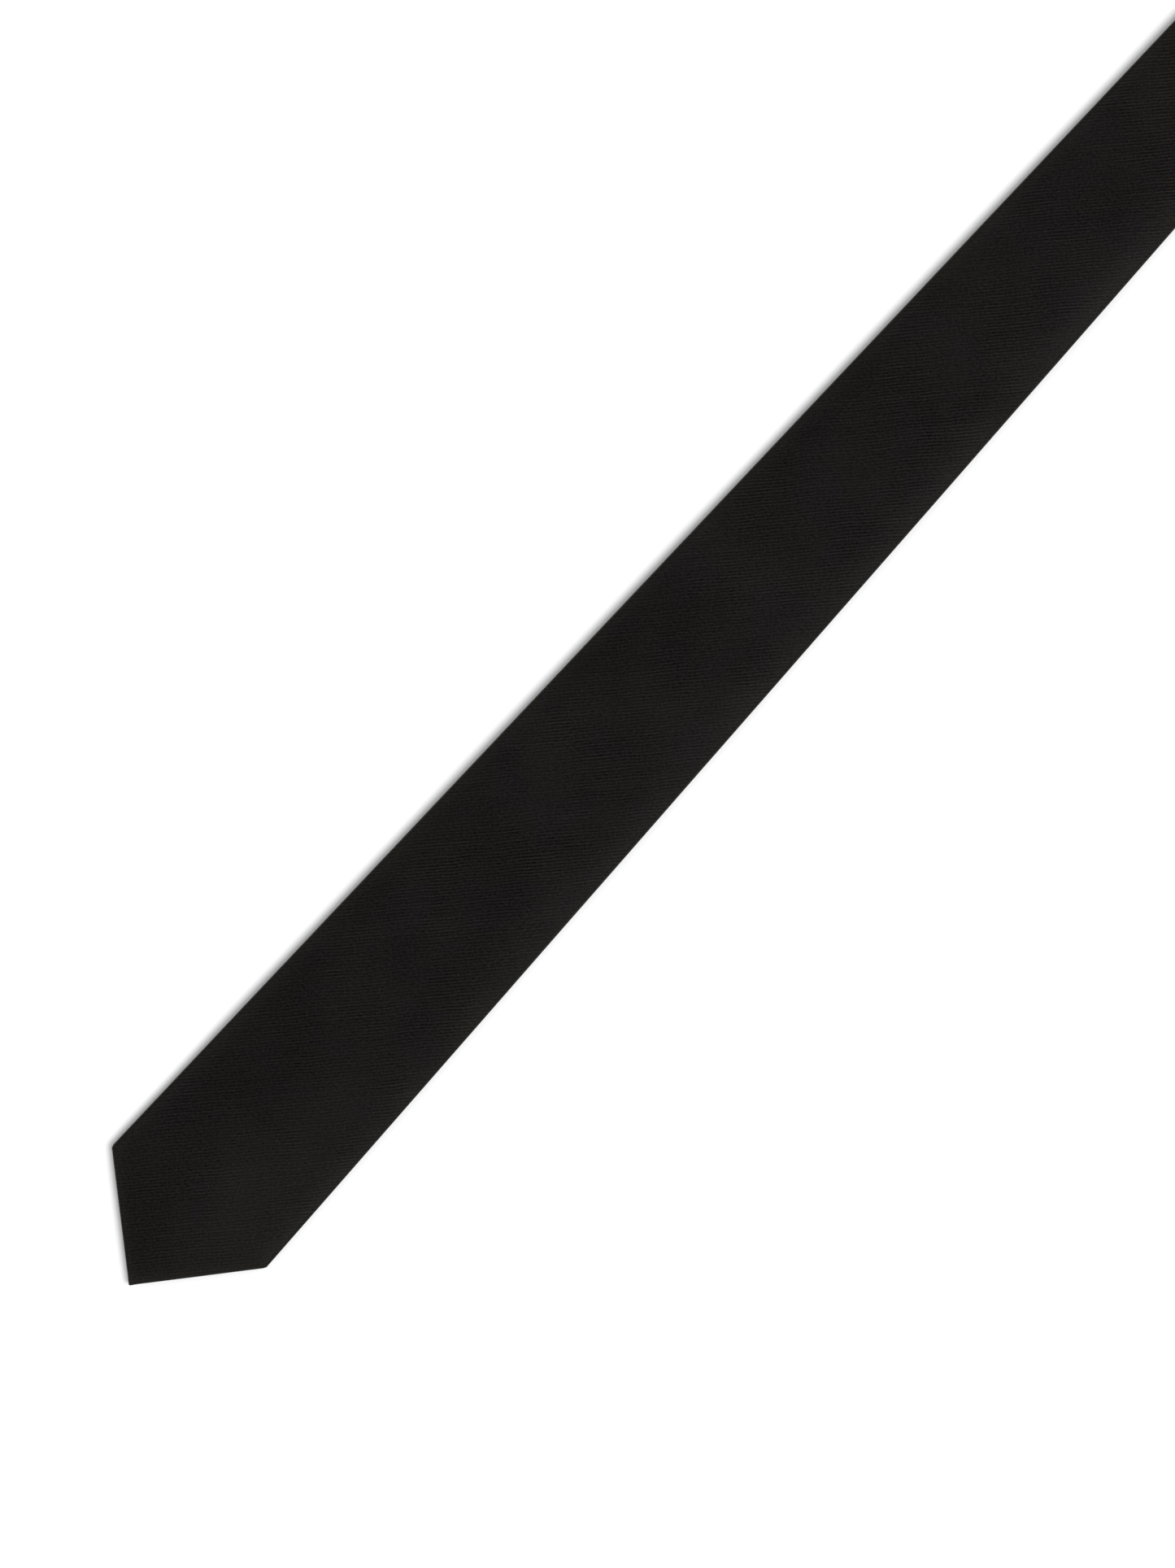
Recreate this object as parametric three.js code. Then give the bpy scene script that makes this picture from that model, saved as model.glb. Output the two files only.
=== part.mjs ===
// A slim black necktie, folded once at the neck and lying front face up.
// The blade is on top. The tail goes back underneath it and through the keeper loop.
// +Y runs from the blade's tip to the neck fold, +X across the blade, +Z up from the table.
// Every layer is swept along one path, measured in millimetres of cloth from the blade's tip.

import * as THREE from "three";

// ---------- driving dimensions, in millimetres ----------

const TIE_LENGTH = 1450;
const BLADE_HALF_WIDTH = 32.5;
const BLADE_TAPER = 0.0191;
const TAIL_HALF_WIDTH = 21;
const NARROWEST_AT = 850;

const TIP_OFFSET = 2.75;
const LEFT_SHOULDER_AT = 30.3;
const RIGHT_SHOULDER_AT = 34.7;
const TAIL_SHOULDER_AT = 21;

const CLOTH = 0.4;
const THICKNESS = 2.8;
const LAYER_GAP = 0.25;
const TIPPING_CLOTH = 0.3;
const INTERLINING_CLOTH = 0.95;
const BACK_SEAM_GAP = 0.8;
const PIECE_GAP = 0.3;
const THREAD = 0.3;

const TIP_LIFT = 3;
const BLADE_LIFT = 4.5;
const TAIL_LIFT = 0.8;
const LIFT_FROM = 50;
const LIFT_TO = 110;

const FOLD_CENTRE_AT = 790;
const FOLD_RADIUS = 6;
const FOLD_RISE = 56;
const FOLD_FALL = 30;
const FOLD_ENDS_AT = 842;

const TIP_HINGE_AT = 120;
const BLADE_SEAM_AT = 640;
const TAIL_SEAM_AT = 960;
const SEAM_GAP = 1.1;
const BIAS_SLOPE = 1;

const HEM = 8;
const BLADE_VEE_AT = 72;
const TAIL_VEE_AT = 50;
const BLADE_TIPPING_TO = 96;
const TAIL_TIPPING_TO = 70;

const KEEPER_AT = 250;
const KEEPER_WIDTH = 10;
const KEEPER_HALF_INSIDE = 24;
const KEEPER_CLOTH = 0.5;
const KEEPER_FLANGE = 3;
const KEEPER_TACK = { margin: 1, halfWidth: 0.5, depth: 0.5 };

const MAKER_LABEL = { from: 276, to: 334, halfWidth: 18 };
const CARE_LABEL = { from: 346, to: 370, halfWidth: 9 };

const BAR_TACK = { pastVee: 4, halfLength: 3, halfWidth: 0.6, depth: 0.9 };
const HEM_THREAD = { inset: 0.7, lift: 0.05, pastShoulder: 6 };
const CARE_TACK_WIDTH = 0.8;
const STITCH_PITCH = 6;
const STITCH_HALF_SPAN = 1.8;

// how far the inner layers stay from the shell's edge: beside each shoulder, and along the tie
const INTERLINING_INSET = { tip: 2.6, side: 1.15 };
const TIPPING_INSET = { tip: 3, side: 1.3 };
const LAYERS_FROM = 9;

// near a tip the hem and the rolled edges take no more than these shares of the width
const HEM_SHARE = 0.42;
const ROLL_SHARE = 0.3;

// heights inside one section, measured from its back face
const TIPPING_LEVEL = CLOTH + LAYER_GAP;
const INTERLINING_LEVEL = TIPPING_LEVEL + TIPPING_CLOTH + LAYER_GAP;
const EDGE_RADIUS = THICKNESS / 2;
const EDGE_STEPS = 4;
const TIP_BLUNT = 1.2;

// ---------- the path that the middle of the tie follows ----------

const MIDDLE_OF_TIP = TIP_LIFT + EDGE_RADIUS;
const MIDDLE_OF_BLADE = BLADE_LIFT + EDGE_RADIUS;
const MIDDLE_OF_TAIL = TAIL_LIFT + EDGE_RADIUS;
const FOLD_CENTRE_HEIGHT = FOLD_RADIUS + EDGE_RADIUS;
const FOLD_APEX_AT = FOLD_CENTRE_AT + FOLD_RADIUS + EDGE_RADIUS;
const QUARTER_CIRCLE = 0.5523;
const EASE_REACH = 0.45;
const MIDDLE_Y = (TIP_BLUNT + FOLD_APEX_AT) / 2;

function pathPoint(along, height) {
  return new THREE.Vector3(0, along - MIDDLE_Y, height);
}

function line(fromAlong, toAlong, height) {
  return new THREE.LineCurve3(pathPoint(fromAlong, height), pathPoint(toAlong, height));
}

// level at both ends, easing from one height to the other
function ease(fromAlong, fromHeight, toAlong, toHeight) {
  const reach = (toAlong - fromAlong) * EASE_REACH;
  return new THREE.CubicBezierCurve3(
    pathPoint(fromAlong, fromHeight),
    pathPoint(fromAlong + reach, fromHeight),
    pathPoint(toAlong - reach, toHeight),
    pathPoint(toAlong, toHeight),
  );
}

function foldQuarter(side) {
  const top = pathPoint(FOLD_CENTRE_AT, FOLD_CENTRE_HEIGHT + side * FOLD_RADIUS);
  const apex = pathPoint(FOLD_CENTRE_AT + FOLD_RADIUS, FOLD_CENTRE_HEIGHT);
  const reach = FOLD_RADIUS * QUARTER_CIRCLE;
  const besideTop = top.clone().add(new THREE.Vector3(0, reach, 0));
  const besideApex = apex.clone().add(new THREE.Vector3(0, 0, side * reach));
  return side > 0
    ? new THREE.CubicBezierCurve3(top, besideTop, besideApex, apex)
    : new THREE.CubicBezierCurve3(apex, besideApex, besideTop, top);
}

const foldTop = FOLD_CENTRE_HEIGHT + FOLD_RADIUS;
const foldBottom = FOLD_CENTRE_HEIGHT - FOLD_RADIUS;
const path = new THREE.CurvePath();
path.add(line(0, LIFT_FROM, MIDDLE_OF_TIP));
path.add(ease(LIFT_FROM, MIDDLE_OF_TIP, LIFT_TO, MIDDLE_OF_BLADE));
path.add(line(LIFT_TO, FOLD_CENTRE_AT - FOLD_RISE, MIDDLE_OF_BLADE));
path.add(ease(FOLD_CENTRE_AT - FOLD_RISE, MIDDLE_OF_BLADE, FOLD_CENTRE_AT, foldTop));
path.add(foldQuarter(1));
path.add(foldQuarter(-1));
path.add(ease(FOLD_CENTRE_AT, foldBottom, FOLD_CENTRE_AT - FOLD_FALL, MIDDLE_OF_TAIL));
const tailStraight = TIE_LENGTH - path.getLength();
const TAIL_TIP_AT = FOLD_CENTRE_AT - FOLD_FALL - tailStraight;
path.add(line(FOLD_CENTRE_AT - FOLD_FALL, TAIL_TIP_AT, MIDDLE_OF_TAIL));
path.updateArcLengths();

// the path's direction is taken over a chord of twice this length
const HALF_CHORD = 0.5;

// a point of the cloth: x across, level up from the section's back face, along from the blade's tip
function place(x, level, along) {
  const share = THREE.MathUtils.clamp(along / TIE_LENGTH, 0, 1);
  const centre = path.getPoint(share);
  const step = HALF_CHORD / TIE_LENGTH;
  const before = path.getPoint(Math.max(share - step, 0));
  const after = path.getPoint(Math.min(share + step, 1));
  const run = after.sub(before).normalize();
  const rise = level - EDGE_RADIUS;
  return new THREE.Vector3(x, centre.y - run.z * rise, centre.z + run.y * rise);
}

// ---------- outlines ----------

function bladeHalfWidth(along) {
  return BLADE_HALF_WIDTH - BLADE_TAPER * (along - (LEFT_SHOULDER_AT + RIGHT_SHOULDER_AT) / 2);
}

const NARROWEST = bladeHalfWidth(NARROWEST_AT);

function halfWidth(along) {
  if (along < NARROWEST_AT) return bladeHalfWidth(along);
  const share = (along - NARROWEST_AT) / (TIE_LENGTH - TAIL_SHOULDER_AT - NARROWEST_AT);
  return NARROWEST + (TAIL_HALF_WIDTH - NARROWEST) * share;
}

// each end is described by the distance from its own tip
const bladeEnd = {
  alongOf: (fromTip) => fromTip,
  tipX: TIP_OFFSET,
  shoulders: [LEFT_SHOULDER_AT, RIGHT_SHOULDER_AT],
  veeAt: BLADE_VEE_AT,
};
const tailEnd = {
  alongOf: (fromTip) => TIE_LENGTH - fromTip,
  tipX: 0,
  shoulders: [TAIL_SHOULDER_AT, TAIL_SHOULDER_AT],
  veeAt: TAIL_VEE_AT,
};

// how far the outline reaches on each side, at a distance from an end's tip
function outline(end, fromTip) {
  return [-1, 1].map((side, index) => {
    const shoulder = end.shoulders[index];
    const full = side * halfWidth(end.alongOf(Math.max(fromTip, shoulder)));
    if (fromTip >= shoulder) return full;
    return end.tipX + (full - end.tipX) * (fromTip / shoulder);
  });
}

// the inner edges of the two turned-back flaps, which meet above the V
function flapEdges(end, fromTip) {
  const [left, right] = outline(end, fromTip);
  const hem = Math.min(HEM, (right - left) * HEM_SHARE);
  return [left, right].map((edge, index) => {
    const side = index === 0 ? -1 : 1;
    const shoulder = end.shoulders[index];
    const meeting = (side * BACK_SEAM_GAP) / 2;
    const start = edge - side * hem;
    const share = THREE.MathUtils.clamp((fromTip - shoulder) / (end.veeAt - shoulder), 0, 1);
    return start + (meeting - start) * share;
  });
}

// ---------- solids ----------

// rings of equal length, skinned and closed with a cap at each end
function loft(rings, capOutline) {
  const count = rings[0].length;
  const positions = rings.flat().flatMap((point) => point.toArray());
  const clockwise = THREE.ShapeUtils.isClockWise(capOutline);
  const capFaces = THREE.ShapeUtils.triangulateShape(capOutline, []);
  if (clockwise) capFaces.forEach((face) => face.reverse());
  const last = (rings.length - 1) * count;
  const index = [];
  for (let ring = 0; ring < rings.length - 1; ring += 1) {
    for (let corner = 0; corner < count; corner += 1) {
      const next = (corner + 1) % count;
      const a = ring * count + corner;
      const b = ring * count + next;
      index.push(a, b, b + count, a, b + count, a + count);
    }
  }
  for (const [a, b, c] of capFaces) {
    index.push(c, b, a, last + a, last + b, last + c);
  }
  const geometry = new THREE.BufferGeometry();
  geometry.setAttribute("position", new THREE.Float32BufferAttribute(positions, 3));
  geometry.setIndex(facingOut(positions, index));
  geometry.computeVertexNormals();
  return geometry;
}

// turns every face round when the solid's volume comes out negative
function facingOut(positions, index) {
  const corner = (n) => new THREE.Vector3().fromArray(positions, n * 3);
  let volume = 0;
  for (let n = 0; n < index.length; n += 3) {
    const [a, b, c] = [corner(index[n]), corner(index[n + 1]), corner(index[n + 2])];
    volume += a.dot(b.cross(c));
  }
  return volume < 0 ? index.reverse() : index;
}

function stations(from, to, steps) {
  return Array.from({ length: steps + 1 }, (_, n) => from + ((to - from) * n) / steps);
}

// a rolled edge, narrowed by the squeeze where the section is too slim for a full round
function arc(centreX, radius, squeeze, fromAngle, toAngle) {
  return stations(fromAngle, toAngle, EDGE_STEPS).map((angle) => ({
    x: centreX + squeeze * radius * Math.cos(angle),
    level: EDGE_RADIUS + radius * Math.sin(angle),
  }));
}

// the folded shell's section, an outer and an inner skin, open between the two flaps
function shellSection(left, right, leftFlap, rightFlap) {
  const squeeze = Math.min(1, ((right - left) * ROLL_SHARE) / EDGE_RADIUS);
  const leftCentre = left + squeeze * EDGE_RADIUS;
  const rightCentre = right - squeeze * EDGE_RADIUS;
  const inner = EDGE_RADIUS - CLOTH;
  const [down, up] = [-Math.PI / 2, Math.PI / 2];
  return [
    { x: leftFlap, level: 0 },
    ...arc(leftCentre, EDGE_RADIUS, squeeze, down, -3 * up),
    ...arc(rightCentre, EDGE_RADIUS, squeeze, up, down),
    { x: rightFlap, level: 0 },
    { x: rightFlap, level: CLOTH },
    ...arc(rightCentre, inner, squeeze, down, up),
    ...arc(leftCentre, inner, squeeze, -3 * up, down),
    { x: leftFlap, level: CLOTH },
  ];
}

// distance across the flat cloth, which goes on past each fold and back along the flap
function acrossCloth(x, level, half) {
  if (level > EDGE_RADIUS) return x;
  return Math.sign(x) * (2 * half - Math.abs(x));
}

// a length of shell; a bias cut leans each end by the distance across the cloth
function shell(end, fromTips, leans) {
  const sections = fromTips.map((fromTip) =>
    shellSection(...outline(end, fromTip), ...flapEdges(end, fromTip)),
  );
  const rings = sections.map((section, n) => {
    const along = end.alongOf(fromTips[n]);
    const lean = leans?.[n] ?? 0;
    return section.map(({ x, level }) =>
      place(x, level, along + lean * acrossCloth(x, level, halfWidth(along))),
    );
  });
  return loft(rings, sections[0].map(({ x, level }) => new THREE.Vector2(x, level)));
}

// a flat layer inside the shell, kept clear of its edges
function layer(end, fromTips, level, cloth, inset) {
  const corners = fromTips.map((fromTip) =>
    outline(end, fromTip).map((edge, index) => {
      const inward = index === 0 ? 1 : -1;
      return edge + inward * (fromTip < end.shoulders[index] ? inset.tip : inset.side);
    }),
  );
  const section = ([left, right]) => [
    [left, level],
    [right, level],
    [right, level + cloth],
    [left, level + cloth],
  ];
  const rings = corners.map((pair, n) =>
    section(pair).map(([x, height]) => place(x, height, end.alongOf(fromTips[n]))),
  );
  return loft(rings, section(corners[0]).map(([x, y]) => new THREE.Vector2(x, y)));
}

function interlining(end, fromTips) {
  return layer(end, fromTips, INTERLINING_LEVEL, INTERLINING_CLOTH, INTERLINING_INSET);
}

function tipping(end, fromTips) {
  return layer(end, fromTips, TIPPING_LEVEL, TIPPING_CLOTH, TIPPING_INSET);
}

const SQUARE = [[-1, -1], [1, -1], [1, 1], [-1, 1]];

function squareCap(half) {
  return SQUARE.map(([x, y]) => new THREE.Vector2(x * half, y * half));
}

// a thread of square section that lies flat in the cloth, through points { x, level, along }
function thread(points, wide) {
  const half = wide / 2;
  const rings = points.map(({ x, level, along }, n) => {
    const before = points[Math.max(n - 1, 0)];
    const after = points[Math.min(n + 1, points.length - 1)];
    const run = new THREE.Vector2(after.x - before.x, after.along - before.along).normalize();
    return SQUARE.map(([side, lift]) =>
      place(x - side * half * run.y, level + lift * half, along + side * half * run.x),
    );
  });
  return loft(rings, squareCap(half));
}

// a zigzag that catches first one flap and then the other; short steps follow a bend closely
function slipStitch(from, to, stepsEach = 1) {
  const steps = Math.round((to - from) / STITCH_PITCH) * stepsEach;
  const level = TIPPING_LEVEL + THREAD / 2;
  const points = stations(from, to, steps).map((along, n) => {
    const phase = (n / stepsEach) % 2;
    return { x: STITCH_HALF_SPAN * (1 - 2 * Math.abs(1 - phase)), level, along };
  });
  return thread(points, THREAD);
}

// the thread of a bias seam: across the front, round both folds and back along the flaps
function seamThread(seamAt) {
  const half = halfWidth(seamAt);
  const fold = half - EDGE_RADIUS;
  const middle = EDGE_RADIUS - CLOTH / 2;
  const flap = (side) => [
    { x: side * (BACK_SEAM_GAP / 2 + PIECE_GAP), level: CLOTH / 2, up: -1 },
    { x: side * fold, level: CLOTH / 2, up: -1 },
  ];
  const roll = (side) =>
    stations(-Math.PI / 2, Math.PI / 2, EDGE_STEPS)
      .slice(1, -1)
      .map((angle) => ({
        x: side * (fold + middle * Math.cos(angle)),
        level: EDGE_RADIUS + middle * Math.sin(angle),
        up: Math.sin(angle),
        out: side * Math.cos(angle),
      }));
  const front = [-1, 1].map((side) => ({ x: side * fold, level: THICKNESS - CLOTH / 2, up: 1 }));
  const route = [
    ...flap(-1),
    ...roll(-1),
    ...front,
    ...roll(1).reverse(),
    ...flap(1).reverse(),
  ];
  const thick = THREAD / 2;
  const rings = route.map(({ x, level, up, out = 0 }) => {
    const along = seamAt + BIAS_SLOPE * acrossCloth(x, level, half);
    return SQUARE.map(([side, lift]) =>
      place(x + lift * thick * out, level + lift * thick * up, along + side * thick),
    );
  });
  return loft(rings, squareCap(thick));
}

// the thread that holds the tipping to the hem, just inside the hem's edge
function hemThread(end) {
  const side = (index) => {
    const inward = index === 0 ? 1 : -1;
    const start = end.shoulders[index] + HEM_THREAD.pastShoulder;
    return stations(start, LAYERS_FROM, 6).map((fromTip) => ({
      x: flapEdges(end, fromTip)[index] + inward * HEM_THREAD.inset,
      level: THREAD / 2 + HEM_THREAD.lift,
      along: end.alongOf(fromTip),
    }));
  };
  return thread([...side(0), ...side(1).reverse()], THREAD);
}

// a short bar of close stitches across the top of the V, on the back
function barTack(end) {
  const middle = end.alongOf(end.veeAt + BAR_TACK.pastVee);
  const section = [
    [-BAR_TACK.halfWidth, -BAR_TACK.depth],
    [BAR_TACK.halfWidth, -BAR_TACK.depth],
    [BAR_TACK.halfWidth, -PIECE_GAP],
    [-BAR_TACK.halfWidth, -PIECE_GAP],
  ];
  const rings = [-BAR_TACK.halfLength, BAR_TACK.halfLength].map((x) =>
    section.map(([aside, level]) => place(x, level, middle + aside)),
  );
  return loft(rings, section.map(([x, y]) => new THREE.Vector2(x, y)));
}

// an outline across the tie, {x, z} above the table, run along it
function band(points, from, to) {
  const rings = [from, to].map((along) =>
    points.map(({ x, z }) => new THREE.Vector3(x, along - MIDDLE_Y, z)),
  );
  return loft(rings, points.map(({ x, z }) => new THREE.Vector2(x, z)));
}

function block(halfWidthX, from, to, low, high, centreX = 0) {
  return band(
    [
      { x: centreX - halfWidthX, z: low },
      { x: centreX + halfWidthX, z: low },
      { x: centreX + halfWidthX, z: high },
      { x: centreX - halfWidthX, z: high },
    ],
    from,
    to,
  );
}

// a flat-bottomed trough of cloth with a flange at each side, sewn to the blade's back
function keeperLoop() {
  const top = BLADE_LIFT - PIECE_GAP;
  const inside = KEEPER_HALF_INSIDE;
  const outside = inside + KEEPER_CLOTH;
  const flange = outside + KEEPER_FLANGE;
  const right = [
    { x: outside, z: 0 },
    { x: outside, z: top - KEEPER_CLOTH },
    { x: flange, z: top - KEEPER_CLOTH },
    { x: flange, z: top },
    { x: inside, z: top },
    { x: inside, z: KEEPER_CLOTH },
  ];
  const left = right.map(({ x, z }) => ({ x: -x, z })).reverse();
  return band([...right, ...left], KEEPER_AT, KEEPER_AT + KEEPER_WIDTH);
}

// close stitches that hold one flange of the keeper loop
function keeperTack(side) {
  const { margin, halfWidth: half, depth } = KEEPER_TACK;
  const centre = side * (KEEPER_HALF_INSIDE + KEEPER_CLOTH + KEEPER_FLANGE / 2);
  const top = BLADE_LIFT - 2 * PIECE_GAP - KEEPER_CLOTH;
  return block(half, KEEPER_AT + margin, KEEPER_AT + KEEPER_WIDTH - margin, top - depth, top, centre);
}

const LABEL_TOP = BLADE_LIFT - PIECE_GAP;
const LABEL_CLOTH = 0.3;

function label({ from, to, halfWidth: half }) {
  return block(half, from, to, LABEL_TOP - LABEL_CLOTH, LABEL_TOP);
}

// a closed ring of thread round a label's edge
function labelThread({ from, to, halfWidth: half }) {
  const clear = PIECE_GAP;
  const shape = new THREE.Shape();
  const hole = new THREE.Path();
  const corners = (grow) => [
    [-half - grow, from - grow - MIDDLE_Y],
    [half + grow, from - grow - MIDDLE_Y],
    [half + grow, to + grow - MIDDLE_Y],
    [-half - grow, to + grow - MIDDLE_Y],
  ];
  shape.setFromPoints(corners(clear + THREAD).map(([x, y]) => new THREE.Vector2(x, y)));
  hole.setFromPoints(corners(clear).map(([x, y]) => new THREE.Vector2(x, y)));
  shape.holes.push(hole);
  const geometry = new THREE.ExtrudeGeometry(shape, { depth: LABEL_CLOTH, bevelEnabled: false });
  geometry.translate(0, 0, LABEL_TOP - LABEL_CLOTH);
  return geometry;
}

// the line of stitches that holds one end of the care label
function careLabelTack({ to, halfWidth: half }) {
  const start = to + PIECE_GAP;
  return block(half, start, start + CARE_TACK_WIDTH, LABEL_TOP - LABEL_CLOTH, LABEL_TOP);
}

// ---------- materials ----------

function cloth(colour, roughness) {
  return new THREE.MeshStandardMaterial({ color: colour, roughness, metalness: 0 });
}

const silk = cloth("#1c1b1a", 0.62);
const lining = cloth("#141416", 0.42);
const wool = cloth("#c9c4b8", 0.95);
const blackThread = cloth("#18181a", 0.5);
const labelSatin = cloth("#232327", 0.38);
const careSatin = cloth("#d8d6d0", 0.45);

// ---------- assembly ----------

const tie = new THREE.Group();

function add(name, geometry, material) {
  const mesh = new THREE.Mesh(geometry, material.clone());
  mesh.name = name;
  tie.add(mesh);
}

// blade end, from the tip to the crease where it can be turned up
const byDistance = (a, b) => a - b;
const tipStations = [
  ...[TIP_BLUNT, 4, 10, 19, LEFT_SHOULDER_AT, RIGHT_SHOULDER_AT, BLADE_VEE_AT],
  ...stations(LIFT_FROM, LIFT_TO, 6),
  TIP_HINGE_AT - PIECE_GAP / 2,
].sort(byDistance);
const tipLayerStations = [LAYERS_FROM, ...tipStations.filter((at) => at > LAYERS_FROM)];
const tippingStations = [...tipLayerStations.filter((at) => at < BLADE_TIPPING_TO), BLADE_TIPPING_TO];
add("blade_tip_shell", shell(bladeEnd, tipStations), silk);
add("blade_tip_interlining", interlining(bladeEnd, tipLayerStations), wool);
add("blade_tipping", tipping(bladeEnd, tippingStations), lining);
add("blade_hem_thread", hemThread(bladeEnd), blackThread);
add("blade_bar_tack", barTack(bladeEnd), blackThread);

// blade, from the crease to the first bias seam
const bladeStart = TIP_HINGE_AT + PIECE_GAP / 2;
const bladeStations = [bladeStart, KEEPER_AT, BLADE_SEAM_AT - SEAM_GAP / 2];
add("blade_shell", shell(bladeEnd, bladeStations, [0, 0, BIAS_SLOPE]), silk);
add("blade_interlining", interlining(bladeEnd, [bladeStart, BLADE_SEAM_AT - PIECE_GAP / 2]), wool);
add("blade_slip_stitch", slipStitch(bladeStart + 1, BLADE_SEAM_AT - 1), blackThread);
add("blade_seam_thread", seamThread(BLADE_SEAM_AT), blackThread);
add("keeper_loop", keeperLoop(), silk);
add("keeper_tack_left", keeperTack(-1), blackThread);
add("keeper_tack_right", keeperTack(1), blackThread);
add("maker_label", label(MAKER_LABEL), labelSatin);
add("maker_label_thread", labelThread(MAKER_LABEL), blackThread);
add("care_label", label(CARE_LABEL), careSatin);
add("care_label_tack", careLabelTack(CARE_LABEL), blackThread);

// neck, between the two bias seams and round the fold
const foldTurnEnds = FOLD_CENTRE_AT + Math.PI * FOLD_RADIUS;
const neckBends = [
  ...stations(FOLD_CENTRE_AT - FOLD_RISE, FOLD_CENTRE_AT, 6),
  ...stations(FOLD_CENTRE_AT, foldTurnEnds, 10).slice(1),
  ...stations(foldTurnEnds, FOLD_ENDS_AT, 4).slice(1),
];
const neckWith = (gap) => [BLADE_SEAM_AT + gap / 2, ...neckBends, TAIL_SEAM_AT - gap / 2];
const neckLeans = [BIAS_SLOPE, ...neckBends.map(() => 0), BIAS_SLOPE];
const neckEnd = { ...bladeEnd, veeAt: LIFT_TO };
add("neck_shell", shell(neckEnd, neckWith(SEAM_GAP), neckLeans), silk);
add("neck_interlining", interlining(neckEnd, neckWith(PIECE_GAP)), wool);
add("neck_slip_stitch", slipStitch(BLADE_SEAM_AT + 1, TAIL_SEAM_AT - 1, 4), blackThread);

// tail, from its tip back to the second bias seam
const tailLength = TIE_LENGTH - TAIL_SEAM_AT;
const tailLayerStations = [LAYERS_FROM, 15, TAIL_SHOULDER_AT];
const tailStations = [TIP_BLUNT, 4, ...tailLayerStations, TAIL_VEE_AT, 200, tailLength - SEAM_GAP / 2];
const tailLeans = tailStations.map((at) => (at > tailLength - SEAM_GAP ? BIAS_SLOPE : 0));
add("tail_shell", shell(tailEnd, tailStations, tailLeans), silk);
add("tail_interlining", interlining(tailEnd, [...tailLayerStations, tailLength - PIECE_GAP / 2]), wool);
add("tail_tipping", tipping(tailEnd, [...tailLayerStations, TAIL_TIPPING_TO]), lining);
add("tail_hem_thread", hemThread(tailEnd), blackThread);
add("tail_bar_tack", barTack(tailEnd), blackThread);
add("tail_slip_stitch", slipStitch(TAIL_SEAM_AT + 1, TIE_LENGTH - TAIL_TIPPING_TO - 2), blackThread);
add("tail_seam_thread", seamThread(TAIL_SEAM_AT), blackThread);

export default tie;
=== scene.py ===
"""A slim black ribbed-silk necktie, folded once at the neck and lying front face up on a white table.

Every piece is swept along the tie's own path, measured in millimetres of cloth from the blade's tip.
x runs across the tie, level goes from a section's back face (0) up to its front face (THICKNESS).
"""

import math

import bpy
import numpy as np
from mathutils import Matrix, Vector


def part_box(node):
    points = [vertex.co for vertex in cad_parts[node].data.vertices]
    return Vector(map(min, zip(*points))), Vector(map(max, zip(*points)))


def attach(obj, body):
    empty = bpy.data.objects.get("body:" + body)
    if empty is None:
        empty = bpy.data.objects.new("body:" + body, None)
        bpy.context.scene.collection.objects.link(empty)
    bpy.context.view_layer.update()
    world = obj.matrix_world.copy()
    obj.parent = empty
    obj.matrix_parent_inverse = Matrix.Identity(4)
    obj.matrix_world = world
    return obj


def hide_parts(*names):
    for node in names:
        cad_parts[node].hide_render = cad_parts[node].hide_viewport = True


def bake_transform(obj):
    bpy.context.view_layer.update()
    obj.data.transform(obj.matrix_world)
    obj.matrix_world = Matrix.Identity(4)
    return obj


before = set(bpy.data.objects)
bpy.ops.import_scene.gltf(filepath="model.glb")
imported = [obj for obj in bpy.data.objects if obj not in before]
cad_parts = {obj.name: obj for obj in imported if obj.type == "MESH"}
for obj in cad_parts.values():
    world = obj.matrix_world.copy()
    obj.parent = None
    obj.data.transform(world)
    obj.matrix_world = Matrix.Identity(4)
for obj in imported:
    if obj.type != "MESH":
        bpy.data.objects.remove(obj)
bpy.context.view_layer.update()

# ---------- driving sizes, in millimetres, as the frame was built ----------

TIE_LENGTH = 1450.0
BLADE_HALF_WIDTH = 32.5
BLADE_TAPER = 0.0191
TAIL_HALF_WIDTH = 21.0
NARROWEST_AT = 850.0
TIP_OFFSET = 2.75
LEFT_SHOULDER_AT = 30.3
RIGHT_SHOULDER_AT = 34.7
TAIL_SHOULDER_AT = 21.0
THICKNESS = 2.8
EDGE_RADIUS = THICKNESS / 2
TIP_BLUNT = 1.2
TIP_LIFT = 3.0
BLADE_LIFT = 4.5
TAIL_LIFT = 0.8
LIFT_FROM = 50.0
LIFT_TO = 110.0
FOLD_CENTRE_AT = 790.0
FOLD_RADIUS = 6.0
FOLD_RISE = 56.0
FOLD_FALL = 30.0
TIP_HINGE_AT = 120.0
BLADE_SEAM_AT = 640.0
TAIL_SEAM_AT = 960.0
HEM = 8.0
BLADE_VEE_AT = 72.0
TAIL_VEE_AT = 50.0
BLADE_TIPPING_TO = 96.0
TAIL_TIPPING_TO = 70.0
KEEPER_AT = 250.0
KEEPER_WIDTH = 10.0
KEEPER_HALF_INSIDE = 24.0
MAKER_LABEL = {"from": 276.0, "to": 334.0, "half": 18.0}
CARE_LABEL = {"from": 346.0, "to": 370.0, "half": 9.0}

# ---------- sizes that only the cloth needs ----------

SILK = 0.28
TIPPING_CLOTH = 0.22
INTERLINING_CLOTH = 0.8
KEEPER_CLOTH = 0.5
LABEL_CLOTH = 0.2
TIPPING_LEVEL = 1.0
INTERLINING_LEVEL = 1.62
LABEL_LEVEL = -0.38
TIPPING_INSET = 1.8
INTERLINING_INSET = 1.6
TIPPING_FROM = 6.5
INTERLINING_FROM = 9.0
TIPPING_PUCKERS = 0.07

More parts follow.
